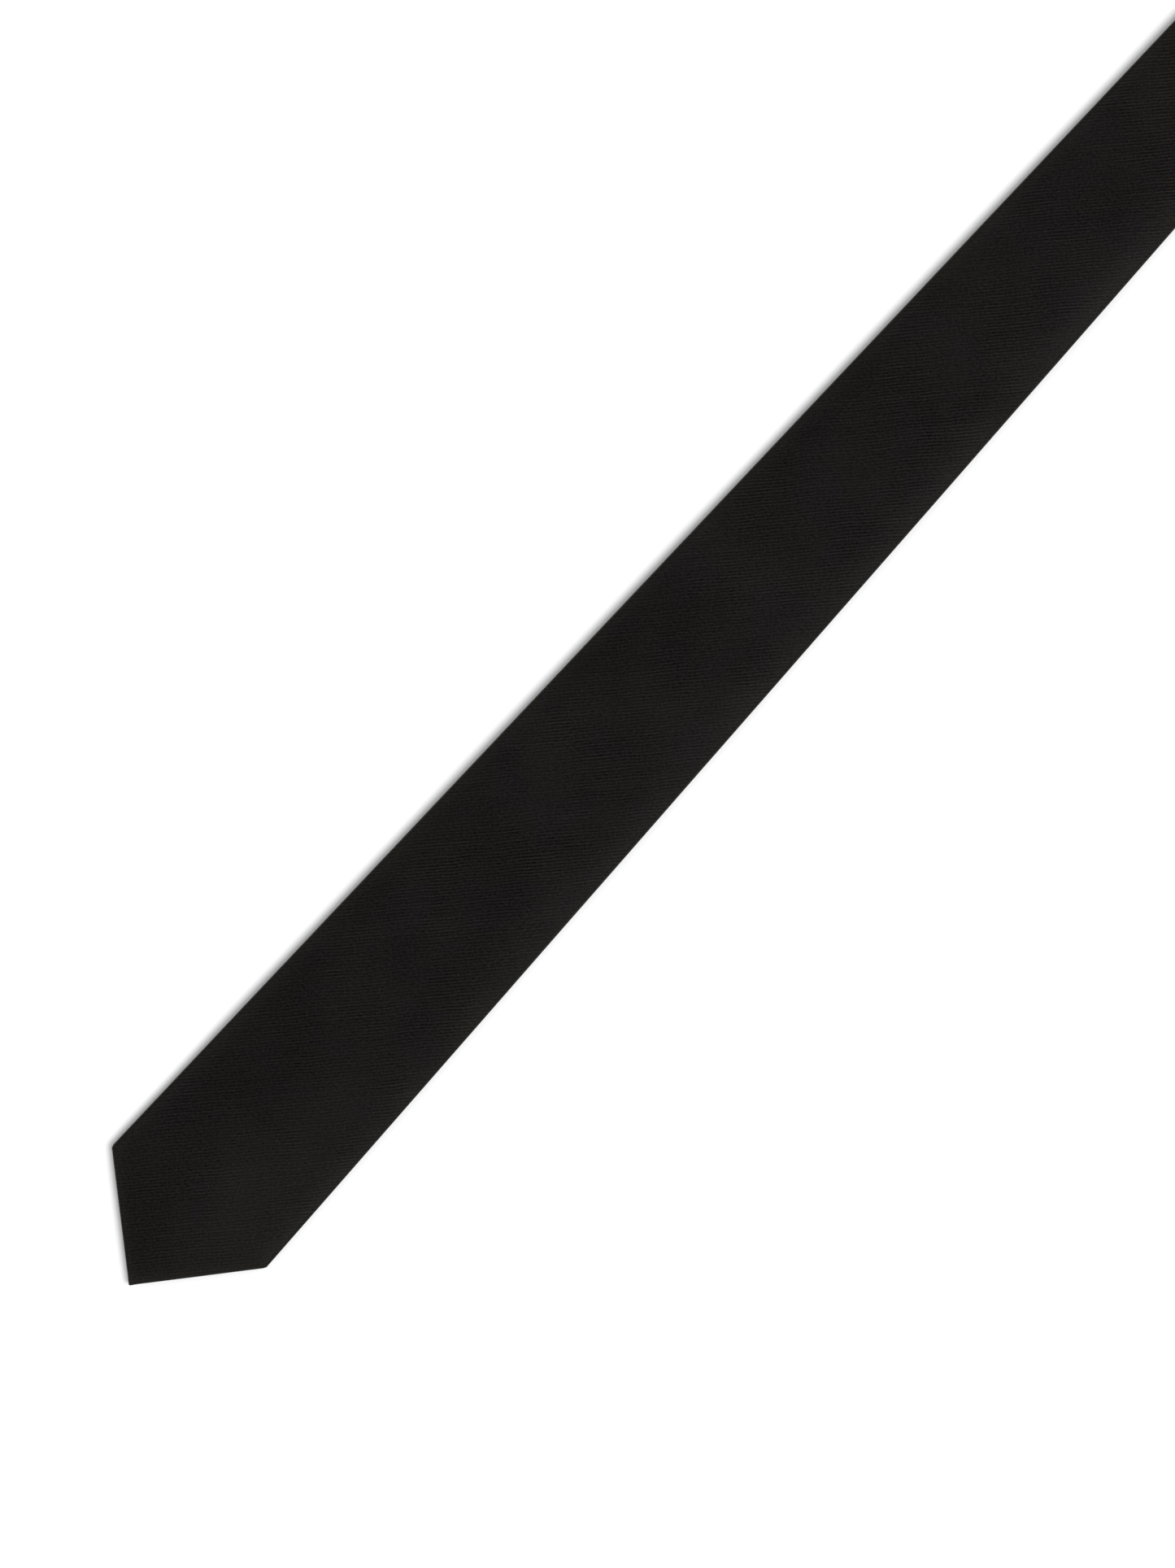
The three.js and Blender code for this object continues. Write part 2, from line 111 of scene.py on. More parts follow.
# the flaps behind: the radius of a turned-in edge, its hidden depth, and how far one laps the other
HAIRPIN = 0.15
TURN_IN = 5.0
LONGEST_TURN_IN = 0.6
MITRE_GAP = 0.12
FLAP_GAP = 0.4
LAP = 1.0
LAP_UNDER = 4.5
LAP_BEGINS = 4.0
LAP_EASES_OVER = 14.0
UNDER_FROM = 7.0
UNDER_OVER = 4.0
NARROW_ROLL = 0.3

# how thick the folded tie is towards its edges, and how its edges hang
LEFT_THINNING = 0.02
RIGHT_THINNING = 0.28
EDGE_BAND = 9.0
LEFT_DROOP = 0.08
RIGHT_DROOP = 0.13
DROOP_WITHIN_TAIL = 4.0
DROOP_FADES_IN = (LIFT_FROM + 20, 60.0)
DROOP_FADES_OUT = (FOLD_CENTRE_AT - FOLD_RISE, 50.0)
SAG = 0.4
SAG_IN_WAVES = 0.75
SAG_REACH = 19.0
SAG_FADES_IN = (4.0, 25.0)
SAG_FADES_OUT = (FOLD_CENTRE_AT - FOLD_RISE - 10, 80.0)
WAVES_FADE_IN = (0.0, 25.0)
WAVES_FADE_OUT = (FOLD_CENTRE_AT - 20, 60.0)
# painted highlight in the silk's colour and gloss along both edges and on the blade's end: each one's
# strength and how far it reaches
PAINTED_HIGHLIGHT_LEFT = {"strength": 0.86, "reach": 1.9}
PAINTED_HIGHLIGHT_RIGHT = {"strength": 0.8, "reach": 2.8}
PAINTED_HIGHLIGHT_END = {"strength": 0.26, "x": 14.0, "along": 58.0, "half_width": 15.0, "half_length": 42.0}

# seams, threads and stitches
SEAM_DIP = 0.28
SEAM_DIP_REACH = 1.1
SEAM_HALF_GAP = 0.06
SEAM_THREAD_DEPTH = 1.1 * SEAM_DIP
SEAM_THREAD_RADIUS = 0.1
SLIP_STITCH = {"length": 1.3, "over_edge": 0.55, "inside": 0.9, "height": 0.08, "pitch": 8.5}
SLIP_STITCH_RADIUS = 0.1
HEM_STITCH_RADIUS = 0.11
HEM_STITCH_PITCH = 3.2
LABEL_STITCH_RADIUS = 0.11
TACK_RADIUS = 0.19
KEEPER_TACK_RADIUS = 0.17
KEEPER_TACK_PITCH = 0.36

# the stretch round the tip's hinge where the rows lie closer, where the cloth is split in two at the neck,
# and where the bias seams start to lean
CREASE_REACH = 7.0
SPLIT_AT = 813.0
BLADE_LEAN_FROM = 530.0
NECK_LEAN_TO = 745.0
UNDER_LEAN_FROM = 855.0
TAIL_LEAN_LENGTH = 110.0

# ---------- picture and light ----------

PICTURE_HEIGHT = 520.4
PICTURE_CENTRE_FROM_TIP = 225.1
PICTURE_CENTRE_X = 3.43
PICTURE_PLANE = 2.0
PICTURE_TURN = 42.27
LENS = 100.0
SENSOR = 36.0
SUN_FROM = (0.87, 0.49)
SUN_HEIGHT = 69.0
SUN_SPREAD = 28.0
SUN_STRENGTH = 2.1
SKY = 0.62

TABLE_HALF_SIZE = 6.0
TABLE_BELOW = 0.0002

# ---------- the cloth's weave, in millimetres ----------

RIB_PITCH = 1.07
RIB_ALONG = 0.738
RIB_ACROSS = 0.675
YARN_PITCH = 0.3
PAINTED_HIGHLIGHT_STRENGTH = 0.6

MM = 0.001
TIP_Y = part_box("blade_tip_shell")[0][1] / MM - TIP_BLUNT


# ---------- the path ----------

CURVE_STEPS = 160
PATH_POINTS = 8001
EASE_SHARE = 0.45


def bezier(corners):
    t = np.linspace(0, 1, CURVE_STEPS)[:, None]
    p = [np.array(c, float) for c in corners]
    return (
        p[0] * (1 - t) ** 3
        + 3 * p[1] * t * (1 - t) ** 2
        + 3 * p[2] * t**2 * (1 - t)
        + p[3] * t**3
    )


def ease(start, end):
    """Level at both ends, from one (along, height) to the other."""
    reach = (end[0] - start[0]) * EASE_SHARE
    return bezier([start, (start[0] + reach, start[1]), (end[0] - reach, end[1]), end])


def arc_points(centre, radius, from_angle, to_angle):
    angle = np.linspace(from_angle, to_angle, CURVE_STEPS)
    return np.stack([centre[0] + radius * np.cos(angle), centre[1] + radius * np.sin(angle)], 1)


def tie_path():
    """Distance along the cloth, place along the table, height, and the path's direction."""
    of_tip = TIP_LIFT + EDGE_RADIUS
    of_blade = BLADE_LIFT + EDGE_RADIUS
    of_tail = TAIL_LIFT + EDGE_RADIUS
    centre = (FOLD_CENTRE_AT, FOLD_RADIUS + EDGE_RADIUS)
    rise_from = (FOLD_CENTRE_AT - FOLD_RISE, of_blade)
    fall_to = (FOLD_CENTRE_AT - FOLD_FALL, of_tail)
    pieces = [
        np.array([[0, of_tip], [LIFT_FROM, of_tip]], float),
        ease((LIFT_FROM, of_tip), (LIFT_TO, of_blade)),
        np.array([[LIFT_TO, of_blade], rise_from], float),
        ease(rise_from, (centre[0], centre[1] + FOLD_RADIUS)),
        arc_points(centre, FOLD_RADIUS, math.pi / 2, -math.pi / 2),
        ease((centre[0], centre[1] - FOLD_RADIUS), fall_to),
    ]
    line = np.concatenate(pieces)
    gone = np.linalg.norm(np.diff(line, axis=0), axis=1).sum()
    line = np.concatenate([line, [[fall_to[0] - (TIE_LENGTH - gone), of_tail]]])
    keep = np.concatenate([[True], np.linalg.norm(np.diff(line, axis=0), axis=1) > 1e-6])
    line = line[keep]
    along = np.concatenate([[0], np.cumsum(np.linalg.norm(np.diff(line, axis=0), axis=1))])
    fine = np.linspace(0, TIE_LENGTH, PATH_POINTS)
    table, height = np.interp(fine, along, line[:, 0]), np.interp(fine, along, line[:, 1])
    run = np.stack([np.gradient(table), np.gradient(height)], 1)
    run /= np.linalg.norm(run, axis=1)[:, None]
    return fine, table, height, run


PATH_S, PATH_Y, PATH_Z, PATH_RUN = tie_path()


def smooth(value):
    t = np.clip(value, 0, 1)
    return t * t * (3 - 2 * t)


def blade_half_width(along):
    middle = (LEFT_SHOULDER_AT + RIGHT_SHOULDER_AT) / 2
    return BLADE_HALF_WIDTH - BLADE_TAPER * (along - middle)


NARROWEST = blade_half_width(NARROWEST_AT)


def half_width(along):
    along = np.asarray(along, float)
    share = (along - NARROWEST_AT) / (TIE_LENGTH - TAIL_SHOULDER_AT - NARROWEST_AT)
    tail = NARROWEST + (TAIL_HALF_WIDTH - NARROWEST) * share
    return np.where(along < NARROWEST_AT, blade_half_width(along), tail)


def fading(along, fades_in, fades_out):
    """Rises from 0 after the first place and falls to 0 at the second, each over its own length."""
    rising = smooth((along - fades_in[0]) / fades_in[1])
    return rising * smooth((fades_out[0] - along) / fades_out[1])


def sag(x, along, half):
    """The right edge also hangs a little lower in slow waves."""
    uneven = 0.9 * np.sin(along / 41.0)
    wave = 0.5 + 0.5 * np.sin(along / 12.5 + uneven + 0.6)
    across = np.clip((x - half + SAG_REACH) / SAG_REACH, 0, 1) ** 2
    return (SAG + SAG_IN_WAVES * wave**2) * across * fading(along, SAG_FADES_IN, SAG_FADES_OUT)


def droop(x, along):
    """How far the blade sags beside the tail that it lies on."""
    half = half_width(along)
    under = 2 * FOLD_CENTRE_AT + math.pi * FOLD_RADIUS - along
    tail_half = half_width(np.clip(under, NARROWEST_AT, TIE_LENGTH - TAIL_SHOULDER_AT))
    overhang = np.clip(half - tail_half, 0, None)
    start = np.clip(tail_half - DROOP_WITHIN_TAIL, 0, half - 1)
    across = np.clip((np.abs(x) - start) / np.maximum(half - start, 0.1), 0, 1) ** 2
    there = fading(along, DROOP_FADES_IN, DROOP_FADES_OUT)
    share = np.where(x < 0, LEFT_DROOP, RIGHT_DROOP)
    return share * overhang * across * there + sag(x, along, half)


def undulation(x, along):
    """Slow, shallow waves of the front face, as cloth keeps from handling.
    Each is a height, times a wave that leans across the tie, times a slower one that lets it come and go."""
    slow = 0.18 * np.sin(along / 17.0 + 0.06 * x + 1.3) * np.sin(along / 71.0 + 0.4)
    broad = 0.22 * np.sin(along / 39.0 - 0.045 * x + 0.5) * np.cos(x / 21.0 + along / 160.0)
    fine = 0.035 * np.sin(along / 7.3 + 0.21 * x) * np.sin(along / 29.0 + 2.0)
    return (slow + broad + fine) * fading(along, WAVES_FADE_IN, WAVES_FADE_OUT)


def place(x, level, along):
    """Points of the tie, in metres in the row frame."""
    x, level, along = np.broadcast_arrays(
        np.asarray(x, float), np.asarray(level, float), np.asarray(along, float)
    )
    y = np.interp(along, PATH_S, PATH_Y)
    z = np.interp(along, PATH_S, PATH_Z)
    run_y = np.interp(along, PATH_S, PATH_RUN[:, 0])
    run_z = np.interp(along, PATH_S, PATH_RUN[:, 1])
    size = np.hypot(run_y, run_z)
    rise = level - EDGE_RADIUS + undulation(x, along) * np.clip(level / THICKNESS, 0, 1)
    y = y - run_z / size * rise
    z = z + run_y / size * rise - droop(x, along)
    return np.stack([x * MM, (y + TIP_Y) * MM, z * MM], -1)


# ---------- outlines of the two ends ----------

SIDES = (-1, 1)

BLADE_END = {
    "along": lambda from_tip: from_tip,
    "tip_x": TIP_OFFSET,
    "shoulders": (LEFT_SHOULDER_AT, RIGHT_SHOULDER_AT),
    "vee_at": BLADE_VEE_AT,
}
TAIL_END = {
    "along": lambda from_tip: TIE_LENGTH - from_tip,
    "tip_x": 0.0,
    "shoulders": (TAIL_SHOULDER_AT, TAIL_SHOULDER_AT),
    "vee_at": TAIL_VEE_AT,
}


def outline(end, from_tip):
    """The left and right edge at a distance from an end's tip."""
    edges = []
    for side, shoulder in zip(SIDES, end["shoulders"]):
        full = side * half_width(end["along"](np.maximum(from_tip, shoulder)))
        share = np.clip(from_tip / shoulder, 0, 1)
        narrowing = end["tip_x"] + (full - end["tip_x"]) * share
        edges.append(np.where(from_tip >= shoulder, full, narrowing))
    return edges


def edge_squeeze(width):
    """How much of the full edge roll fits into a section that narrows to the tip."""
    return np.minimum(1, width * NARROW_ROLL / EDGE_RADIUS)


def flap_edges(end, from_tip):
    """Where the two flaps end: a hem round the tip, then the V, then one lapped over the other."""
    left, right = outline(end, from_tip)
    width = right - left
    hem = np.minimum(HEM, width / 2 - MITRE_GAP * edge_squeeze(width))
    lapped = smooth((from_tip - end["vee_at"] + LAP_BEGINS) / LAP_EASES_OVER)
    found = []
    for edge, side, shoulder in zip((left, right), SIDES, end["shoulders"]):
        start = edge - side * hem
        share = np.clip((from_tip - shoulder) / (end["vee_at"] - shoulder), 0, 1)
        found.append(start + (side * FLAP_GAP - start) * share)
    left_flap = found[0] + (LAP + FLAP_GAP) * lapped
    right_flap = found[1] - (LAP_UNDER + FLAP_GAP) * lapped
    return left_flap, right_flap, lapped


# ---------- meshes ----------

SMOOTH_ANGLE = 50
TURN_COLUMNS = 5
FLAP_COLUMNS = 16
FRONT_COLUMNS = 45
UNDERLAP_FOLD = (0.2, 0.4, 0.6, 0.8)
UNDERLAP_EDGE = (1.0, 2.5)
ROLL_COLUMNS = 9
ROLL_TURNS = 70
HAIRPIN_ANGLES = (60, 25, -25, -60)
STRIP_COLUMNS = 13
CORNER_EASE = 4.0
THREAD_SIDES = 6
THREAD_END_TAPER = 0.45
THREAD_GUIDE = (0.21, 0.13, 1.0)
STITCH_STEPS = 7
STITCH_FULLNESS = 0.6
STITCH_SINKS = 0.12


def grid_normals(points):
    down = np.gradient(points, axis=0)
    across = np.gradient(points, axis=1)
    normal = np.cross(across, down)
    return normal / np.maximum(np.linalg.norm(normal, axis=2), 1e-12)[..., None]


def new_object(name, verts, faces, loops_uv=None, painted_highlight=None):
    mesh = bpy.data.meshes.new(name)
    mesh.from_pydata([tuple(v) for v in verts], [], faces)
    mesh.validate()
    if loops_uv is not None:
        layer = mesh.uv_layers.new(name="cloth")
        index = np.zeros(len(mesh.loops), np.int32)
        mesh.loops.foreach_get("vertex_index", index)
        layer.data.foreach_set("uv", np.asarray(loops_uv, np.float32)[index].ravel())
    # the painted highlight mask, when one is given
    if painted_highlight is not None:
        mesh.attributes.new("painted_highlight", "FLOAT", "POINT").data.foreach_set("value", painted_highlight)
    mesh.shade_smooth()
    mesh.set_sharp_from_angle(angle=math.radians(SMOOTH_ANGLE))
    mesh.update()
    made = bpy.data.objects.new(name, mesh)
    bpy.context.scene.collection.objects.link(made)
    return made


def cloth(name, points, uv, thick, outward, dip=None, painted_highlight=None):
    """A closed thin sheet round a grid of points in its middle. uv is in millimetres of cloth.
    outward is a column of the grid and which way its outer side faces, row by row."""
    normal = grid_normals(points)
    column, facing = outward
    if (normal[:, column] * facing).sum() < 0:
        normal = -normal
    if dip is not None:
        points = points - normal * dip[..., None] * MM
    rows, columns = points.shape[:2]
    outer = points + normal * (thick / 2 * MM)
    inner = points - normal * (thick / 2 * MM)
    verts = np.concatenate([outer.reshape(-1, 3), inner.reshape(-1, 3)])
    uvs = np.tile(uv.reshape(-1, 2), (2, 1))
    total = rows * columns
    row, place_in_row = np.meshgrid(np.arange(rows - 1), np.arange(columns - 1), indexing="ij")
    a = (row * columns + place_in_row).ravel()
    b, c, d = a + 1, a + columns + 1, a + columns
    faces = [np.stack([a, b, c, d], 1), np.stack([d, c, b, a], 1) + total]
    last = (rows - 1) * columns
    n = np.arange(columns - 1)
    faces.append(np.stack([n + total, n + 1 + total, n + 1, n], 1))
    faces.append(np.stack([last + n, last + n + 1, last + n + 1 + total, last + n + total], 1))
    n = np.arange(rows - 1) * columns
    faces.append(np.stack([n, n + columns, n + columns + total, n + total], 1))
    n = n + columns - 1
    faces.append(np.stack([n + total, n + columns + total, n + columns, n], 1))
    faces = np.concatenate(faces)
    p = verts[faces]
    volume = (p[:, 0] * np.cross(p[:, 1], p[:, 2])).sum() + (p[:, 0] * np.cross(p[:, 2], p[:, 3])).sum()
    if volume < 0:
        faces = faces[:, ::-1]
    if painted_highlight is not None:
        painted_highlight = np.tile(painted_highlight.ravel(), 2).astype(np.float32)
    return new_object(name, verts, faces.tolist(), uvs, painted_highlight=painted_highlight)


def thinned(x, level, left, right):
    """The folded tie is thinner towards its edges than along its middle."""
    near_left = LEFT_THINNING * (1 - np.clip((x - left) / EDGE_BAND, 0, 1)) ** 2
    near_right = RIGHT_THINNING * (1 - np.clip((right - x) / EDGE_BAND, 0, 1)) ** 2
    return level * (1 - near_left - near_right)


def shell_section(end, from_tip):
    """The shell's middle surface, one row for each distance from the tip, in order from the left
    flap's turned-in edge round the front to the right flap's: x, level and distance across the cloth."""
    from_tip = np.asarray(from_tip, float)[:, None]
    left, right = outline(end, from_tip)
    left_flap, right_flap, lapped = flap_edges(end, from_tip)
    squeeze = edge_squeeze(right - left)
    left_roll = left + squeeze * EDGE_RADIUS
    right_roll = right - squeeze * EDGE_RADIUS
    radius = EDGE_RADIUS - SILK / 2
    pin = HAIRPIN * squeeze
    low = SILK / 2
    rows = len(from_tip)

    def spread(start, stop, count):
        return start + (stop - start) * np.linspace(0, 1, count)[None, :]

    def flat(value, like):
        return np.broadcast_to(np.asarray(value, float), like.shape)

    turn = np.minimum(TURN_IN, (left_flap - left_roll) * LONGEST_TURN_IN)
    x_parts, level_parts = [], []

    def add(x, level):
        x_parts.append(np.broadcast_to(x, (rows, x.shape[1])))
        level_parts.append(np.broadcast_to(level, (rows, x.shape[1])))

    # left flap: turned-in edge, fold, flap
    x = spread(left_flap - pin - turn, left_flap - pin, TURN_COLUMNS)
    add(x, flat(low + 2 * HAIRPIN, x))
    angle = np.radians(np.array([HAIRPIN_ANGLES]))
    add(left_flap - pin + pin * np.cos(angle), low + HAIRPIN + HAIRPIN * np.sin(angle) + 0 * pin)
    x = spread(left_flap - pin, left_roll, FLAP_COLUMNS)
    add(x, flat(low, x))
    # left edge, front, right edge
    angle = np.radians(np.linspace(ROLL_TURNS - 180, -ROLL_TURNS - 180, ROLL_COLUMNS))[None, :]
    add(left_roll + squeeze * radius * np.cos(angle), EDGE_RADIUS + radius * np.sin(angle) + 0 * left)
    x = spread(left_roll, right_roll, FRONT_COLUMNS)
    add(x, flat(THICKNESS - low, x))
    front_column = sum(part.shape[1] for part in x_parts) - FRONT_COLUMNS // 2 - 1
    angle = np.radians(np.linspace(ROLL_TURNS, -ROLL_TURNS, ROLL_COLUMNS))[None, :]
    add(right_roll + squeeze * radius * np.cos(angle), EDGE_RADIUS + radius * np.sin(angle) + 0 * left)
    # right flap: it goes under the left one where they lap, and has a turned-in edge below the V
    hidden = low + 4 * HAIRPIN
    flap_x = spread(right_roll, right_flap + pin, FLAP_COLUMNS)
    under = smooth((UNDER_FROM - flap_x) / UNDER_OVER) * lapped
    add(flap_x, low + (hidden - low) * under)
    angle = np.radians(180 - np.array([HAIRPIN_ANGLES])[:, ::-1])
    folded_x = right_flap + pin + pin * np.cos(angle)
    folded_level = low + HAIRPIN + HAIRPIN * np.sin(angle) + 0 * pin
    flat_x = right_flap + pin - np.array([UNDERLAP_FOLD])
    add(folded_x + (flat_x - folded_x) * lapped, folded_level + (hidden - folded_level) * lapped)
    turn = np.minimum(TURN_IN, (right_roll - right_flap) * LONGEST_TURN_IN)
    folded_x = spread(right_flap + pin, right_flap + pin + turn, TURN_COLUMNS)
    flat_x = spread(right_flap + pin - UNDERLAP_EDGE[0], right_flap + pin - UNDERLAP_EDGE[1], TURN_COLUMNS)
    folded_level = flat(low + 2 * HAIRPIN, folded_x)
    add(folded_x + (flat_x - folded_x) * lapped, folded_level + (hidden - folded_level) * lapped)

    x, level = np.concatenate(x_parts, 1), np.concatenate(level_parts, 1)
    steps = np.hypot(np.diff(x, axis=1), np.diff(level, axis=1))
    across = np.concatenate([np.zeros((rows, 1)), np.cumsum(steps, 1)], 1)
    across = across - across[:, [front_column]] + x[:, [front_column]]
    return x, thinned(x, level, left, right), across, front_column


def painted_edge_highlight(x, along, left, right):
    """Painted highlight, as lighter and glossier silk: along both edges, and on the right half of the blade's
    end.
    """
    by_left = PAINTED_HIGHLIGHT_LEFT["strength"] * np.exp(-(x - left) / PAINTED_HIGHLIGHT_LEFT["reach"])
    by_right = PAINTED_HIGHLIGHT_RIGHT["strength"] * np.exp(-(right - x) / PAINTED_HIGHLIGHT_RIGHT["reach"])
    off_centre = (x - PAINTED_HIGHLIGHT_END["x"]) / PAINTED_HIGHLIGHT_END["half_width"]
    off_along = (along - PAINTED_HIGHLIGHT_END["along"]) / PAINTED_HIGHLIGHT_END["half_length"]
    by_end = PAINTED_HIGHLIGHT_END["strength"] * np.exp(-(off_centre**2) - off_along**2)
    return by_left + by_right + by_end


def shell(name, end, from_tip, lean, dips):
    """A length of silk shell. lean tilts each row along the bias; dips are the seams at its ends."""
    x, level, across, front_column = shell_section(end, from_tip)
    along = end["along"](np.asarray(from_tip, float))[:, None] + np.asarray(lean)[:, None] * across
    points = place(x, level, along)
    uv = np.stack([across, along], -1)
    dip = np.zeros(x.shape)
    for seam in dips:
        from_seam = np.abs(end["along"](np.asarray(from_tip, float))[:, None] - seam) + 0 * x
        dip = dip + SEAM_DIP * (1 - smooth(from_seam / SEAM_DIP_REACH))
    middle = points[:, front_column]
    above = place(x[:, front_column], level[:, front_column] + 1, along[:, front_column])
    left, right = outline(end, np.asarray(from_tip, float)[:, None])
    # the painted highlight mask, kept on the mesh for the silk's colour and gloss
    painted_highlight = painted_edge_highlight(x, along, left, right)
    return cloth(name, points, uv, SILK, (front_column, above - middle), dip, painted_highlight)


def strip(name, end, from_tip, inset, level, thick, columns=STRIP_COLUMNS, puckers=0.0):
    """A flat layer inside the shell."""
    from_tip = np.asarray(from_tip, float)
    left, right = outline(end, from_tip)
    extra = [
        inset / 2 * (1 - smooth((from_tip - shoulder) / CORNER_EASE + 0.5)) for shoulder in end["shoulders"]
    ]
    start, stop = left + inset + extra[0], right - inset - extra[1]
    t = np.linspace(0, 1, columns)[None, :]
    x = start[:, None] + (stop - start)[:, None] * t
    along = end["along"](from_tip)[:, None] + 0 * x
    ripple = puckers * np.sin(along / 3.1 + x / 9.0) * np.sin(x / 5.3 + along / 23.0)
    level = thinned(x, level + ripple, left[:, None], right[:, None])
    points = place(x, level, along)
    above = place(x, level + 1, along)[:, columns // 2] - points[:, columns // 2]
    return cloth(name, points, np.stack([x, along], -1), thick, (columns // 2, above))


def tube(route, radius):
    """Vertices and faces of a round thread along a route, closed at both ends."""
    route = np.asarray(route, float)
    run = np.gradient(route, axis=0)
    run /= np.maximum(np.linalg.norm(run, axis=1), 1e-12)[:, None]
    side = np.cross(run, np.array(THREAD_GUIDE))
    side /= np.linalg.norm(side, axis=1)[:, None]
    up = np.cross(side, run)
    taper = np.ones(len(route))
    taper[0] = taper[-1] = THREAD_END_TAPER
    angle = np.linspace(0, 2 * math.pi, THREAD_SIDES, endpoint=False)
    ring = np.cos(angle)[None, :, None] * side[:, None] + np.sin(angle)[None, :, None] * up[:, None]
    verts = (route[:, None] + ring * radius * taper[:, None, None]).reshape(-1, 3)
    faces = []
    for step in range(len(route) - 1):
        for n in range(THREAD_SIDES):
            a, b = step * THREAD_SIDES + n, step * THREAD_SIDES + (n + 1) % THREAD_SIDES
            faces.append((a, b, b + THREAD_SIDES, a + THREAD_SIDES))
    faces.append(tuple(range(THREAD_SIDES))[::-1])
    last = (len(route) - 1) * THREAD_SIDES
    faces.append(tuple(last + n for n in range(THREAD_SIDES)))
    return verts, faces


def threads(name, routes, radius):
    """Many short threads as one piece. Each route is a list of (x, level, along)."""
    verts, faces, count = [], [], 0
    for route in routes:
        route = np.asarray(route, float)
        points = place(route[:, 0], route[:, 1], route[:, 2])
        more, made = tube(points, radius * MM)
        verts.append(more)
        faces += [tuple(count + n for n in face) for face in made]
        count += len(more)
    return new_object(name, np.concatenate(verts), faces)


def stitch(start, end, depth):
    """One stitch that comes out of the cloth, lies on it and goes back in, seen from the back."""
    t = np.linspace(0, 1, STITCH_STEPS)
    x = start[0] + (end[0] - start[0]) * t
    along = start[1] + (end[1] - start[1]) * t
    arch = np.sin(math.pi * t)
    level = -depth * arch**STITCH_FULLNESS + STITCH_SINKS * (1 - arch)
    return np.stack([x, level, along], 1)


# ---------- materials ----------


class Nodes:
    """A short way to write a node tree."""

    def __init__(self, name):
        self.material = bpy.data.materials.new(name)
        self.material.use_nodes = True
        self.tree = self.material.node_tree
        self.shader = self.tree.nodes["Principled BSDF"]
        self.shader.inputs["Metallic"].default_value = 0

    def set(self, **values):
        for key, value in values.items():
            self.shader.inputs[key.replace("_", " ")].default_value = value

    def add(self, kind, inputs=(), **settings):
        node = self.tree.nodes.new(kind)
        for key, value in settings.items():
            setattr(node, key, value)
        for key, value in dict(inputs).items():
            self.put(node.inputs[key], value)
        return node

    def put(self, socket, value):
        if isinstance(value, bpy.types.NodeSocket):
            self.tree.links.new(value, socket)
        else:
            socket.default_value = value

    def math(self, operation, a, b=0.0, clamp=False):
        node = self.add("ShaderNodeMath", {0: a, 1: b}, operation=operation, use_clamp=clamp)
        return node.outputs[0]

    def noise(self, vector, scale, detail=2.0, roughness=0.5):
        inputs = {"Vector": vector, "Scale": scale, "Detail": detail, "Roughness": roughness}
        return self.add("ShaderNodeTexNoise", inputs).outputs["Fac"]

    def remap(self, value, low, high, to_low, to_high):
        inputs = {0: value, 1: low, 2: high, 3: to_low, 4: to_high}
        return self.add("ShaderNodeMapRange", inputs).outputs[0]

    def mix(self, share, a, b):
        node = self.add("ShaderNodeMix", data_type="RGBA")
        self.put(node.inputs["Factor"], share)
        self.put(node.inputs["A"], a)
        self.put(node.inputs["B"], b)
        return node.outputs["Result"]

    def cloth_uv(self):
        """Millimetres across and along the cloth, and the two as one vector."""
        uv = self.add("ShaderNodeUVMap", uv_map="cloth").outputs[0]
        split = self.add("ShaderNodeSeparateXYZ", {0: uv})
        return uv, split.outputs[0], split.outputs[1]

    def bump(self, height, strength, distance, onto=None):
        inputs = {"Height": height, "Strength": strength, "Distance": distance}
        if onto is not None:
            inputs["Normal"] = onto
        return self.add("ShaderNodeBump", inputs).outputs[0]


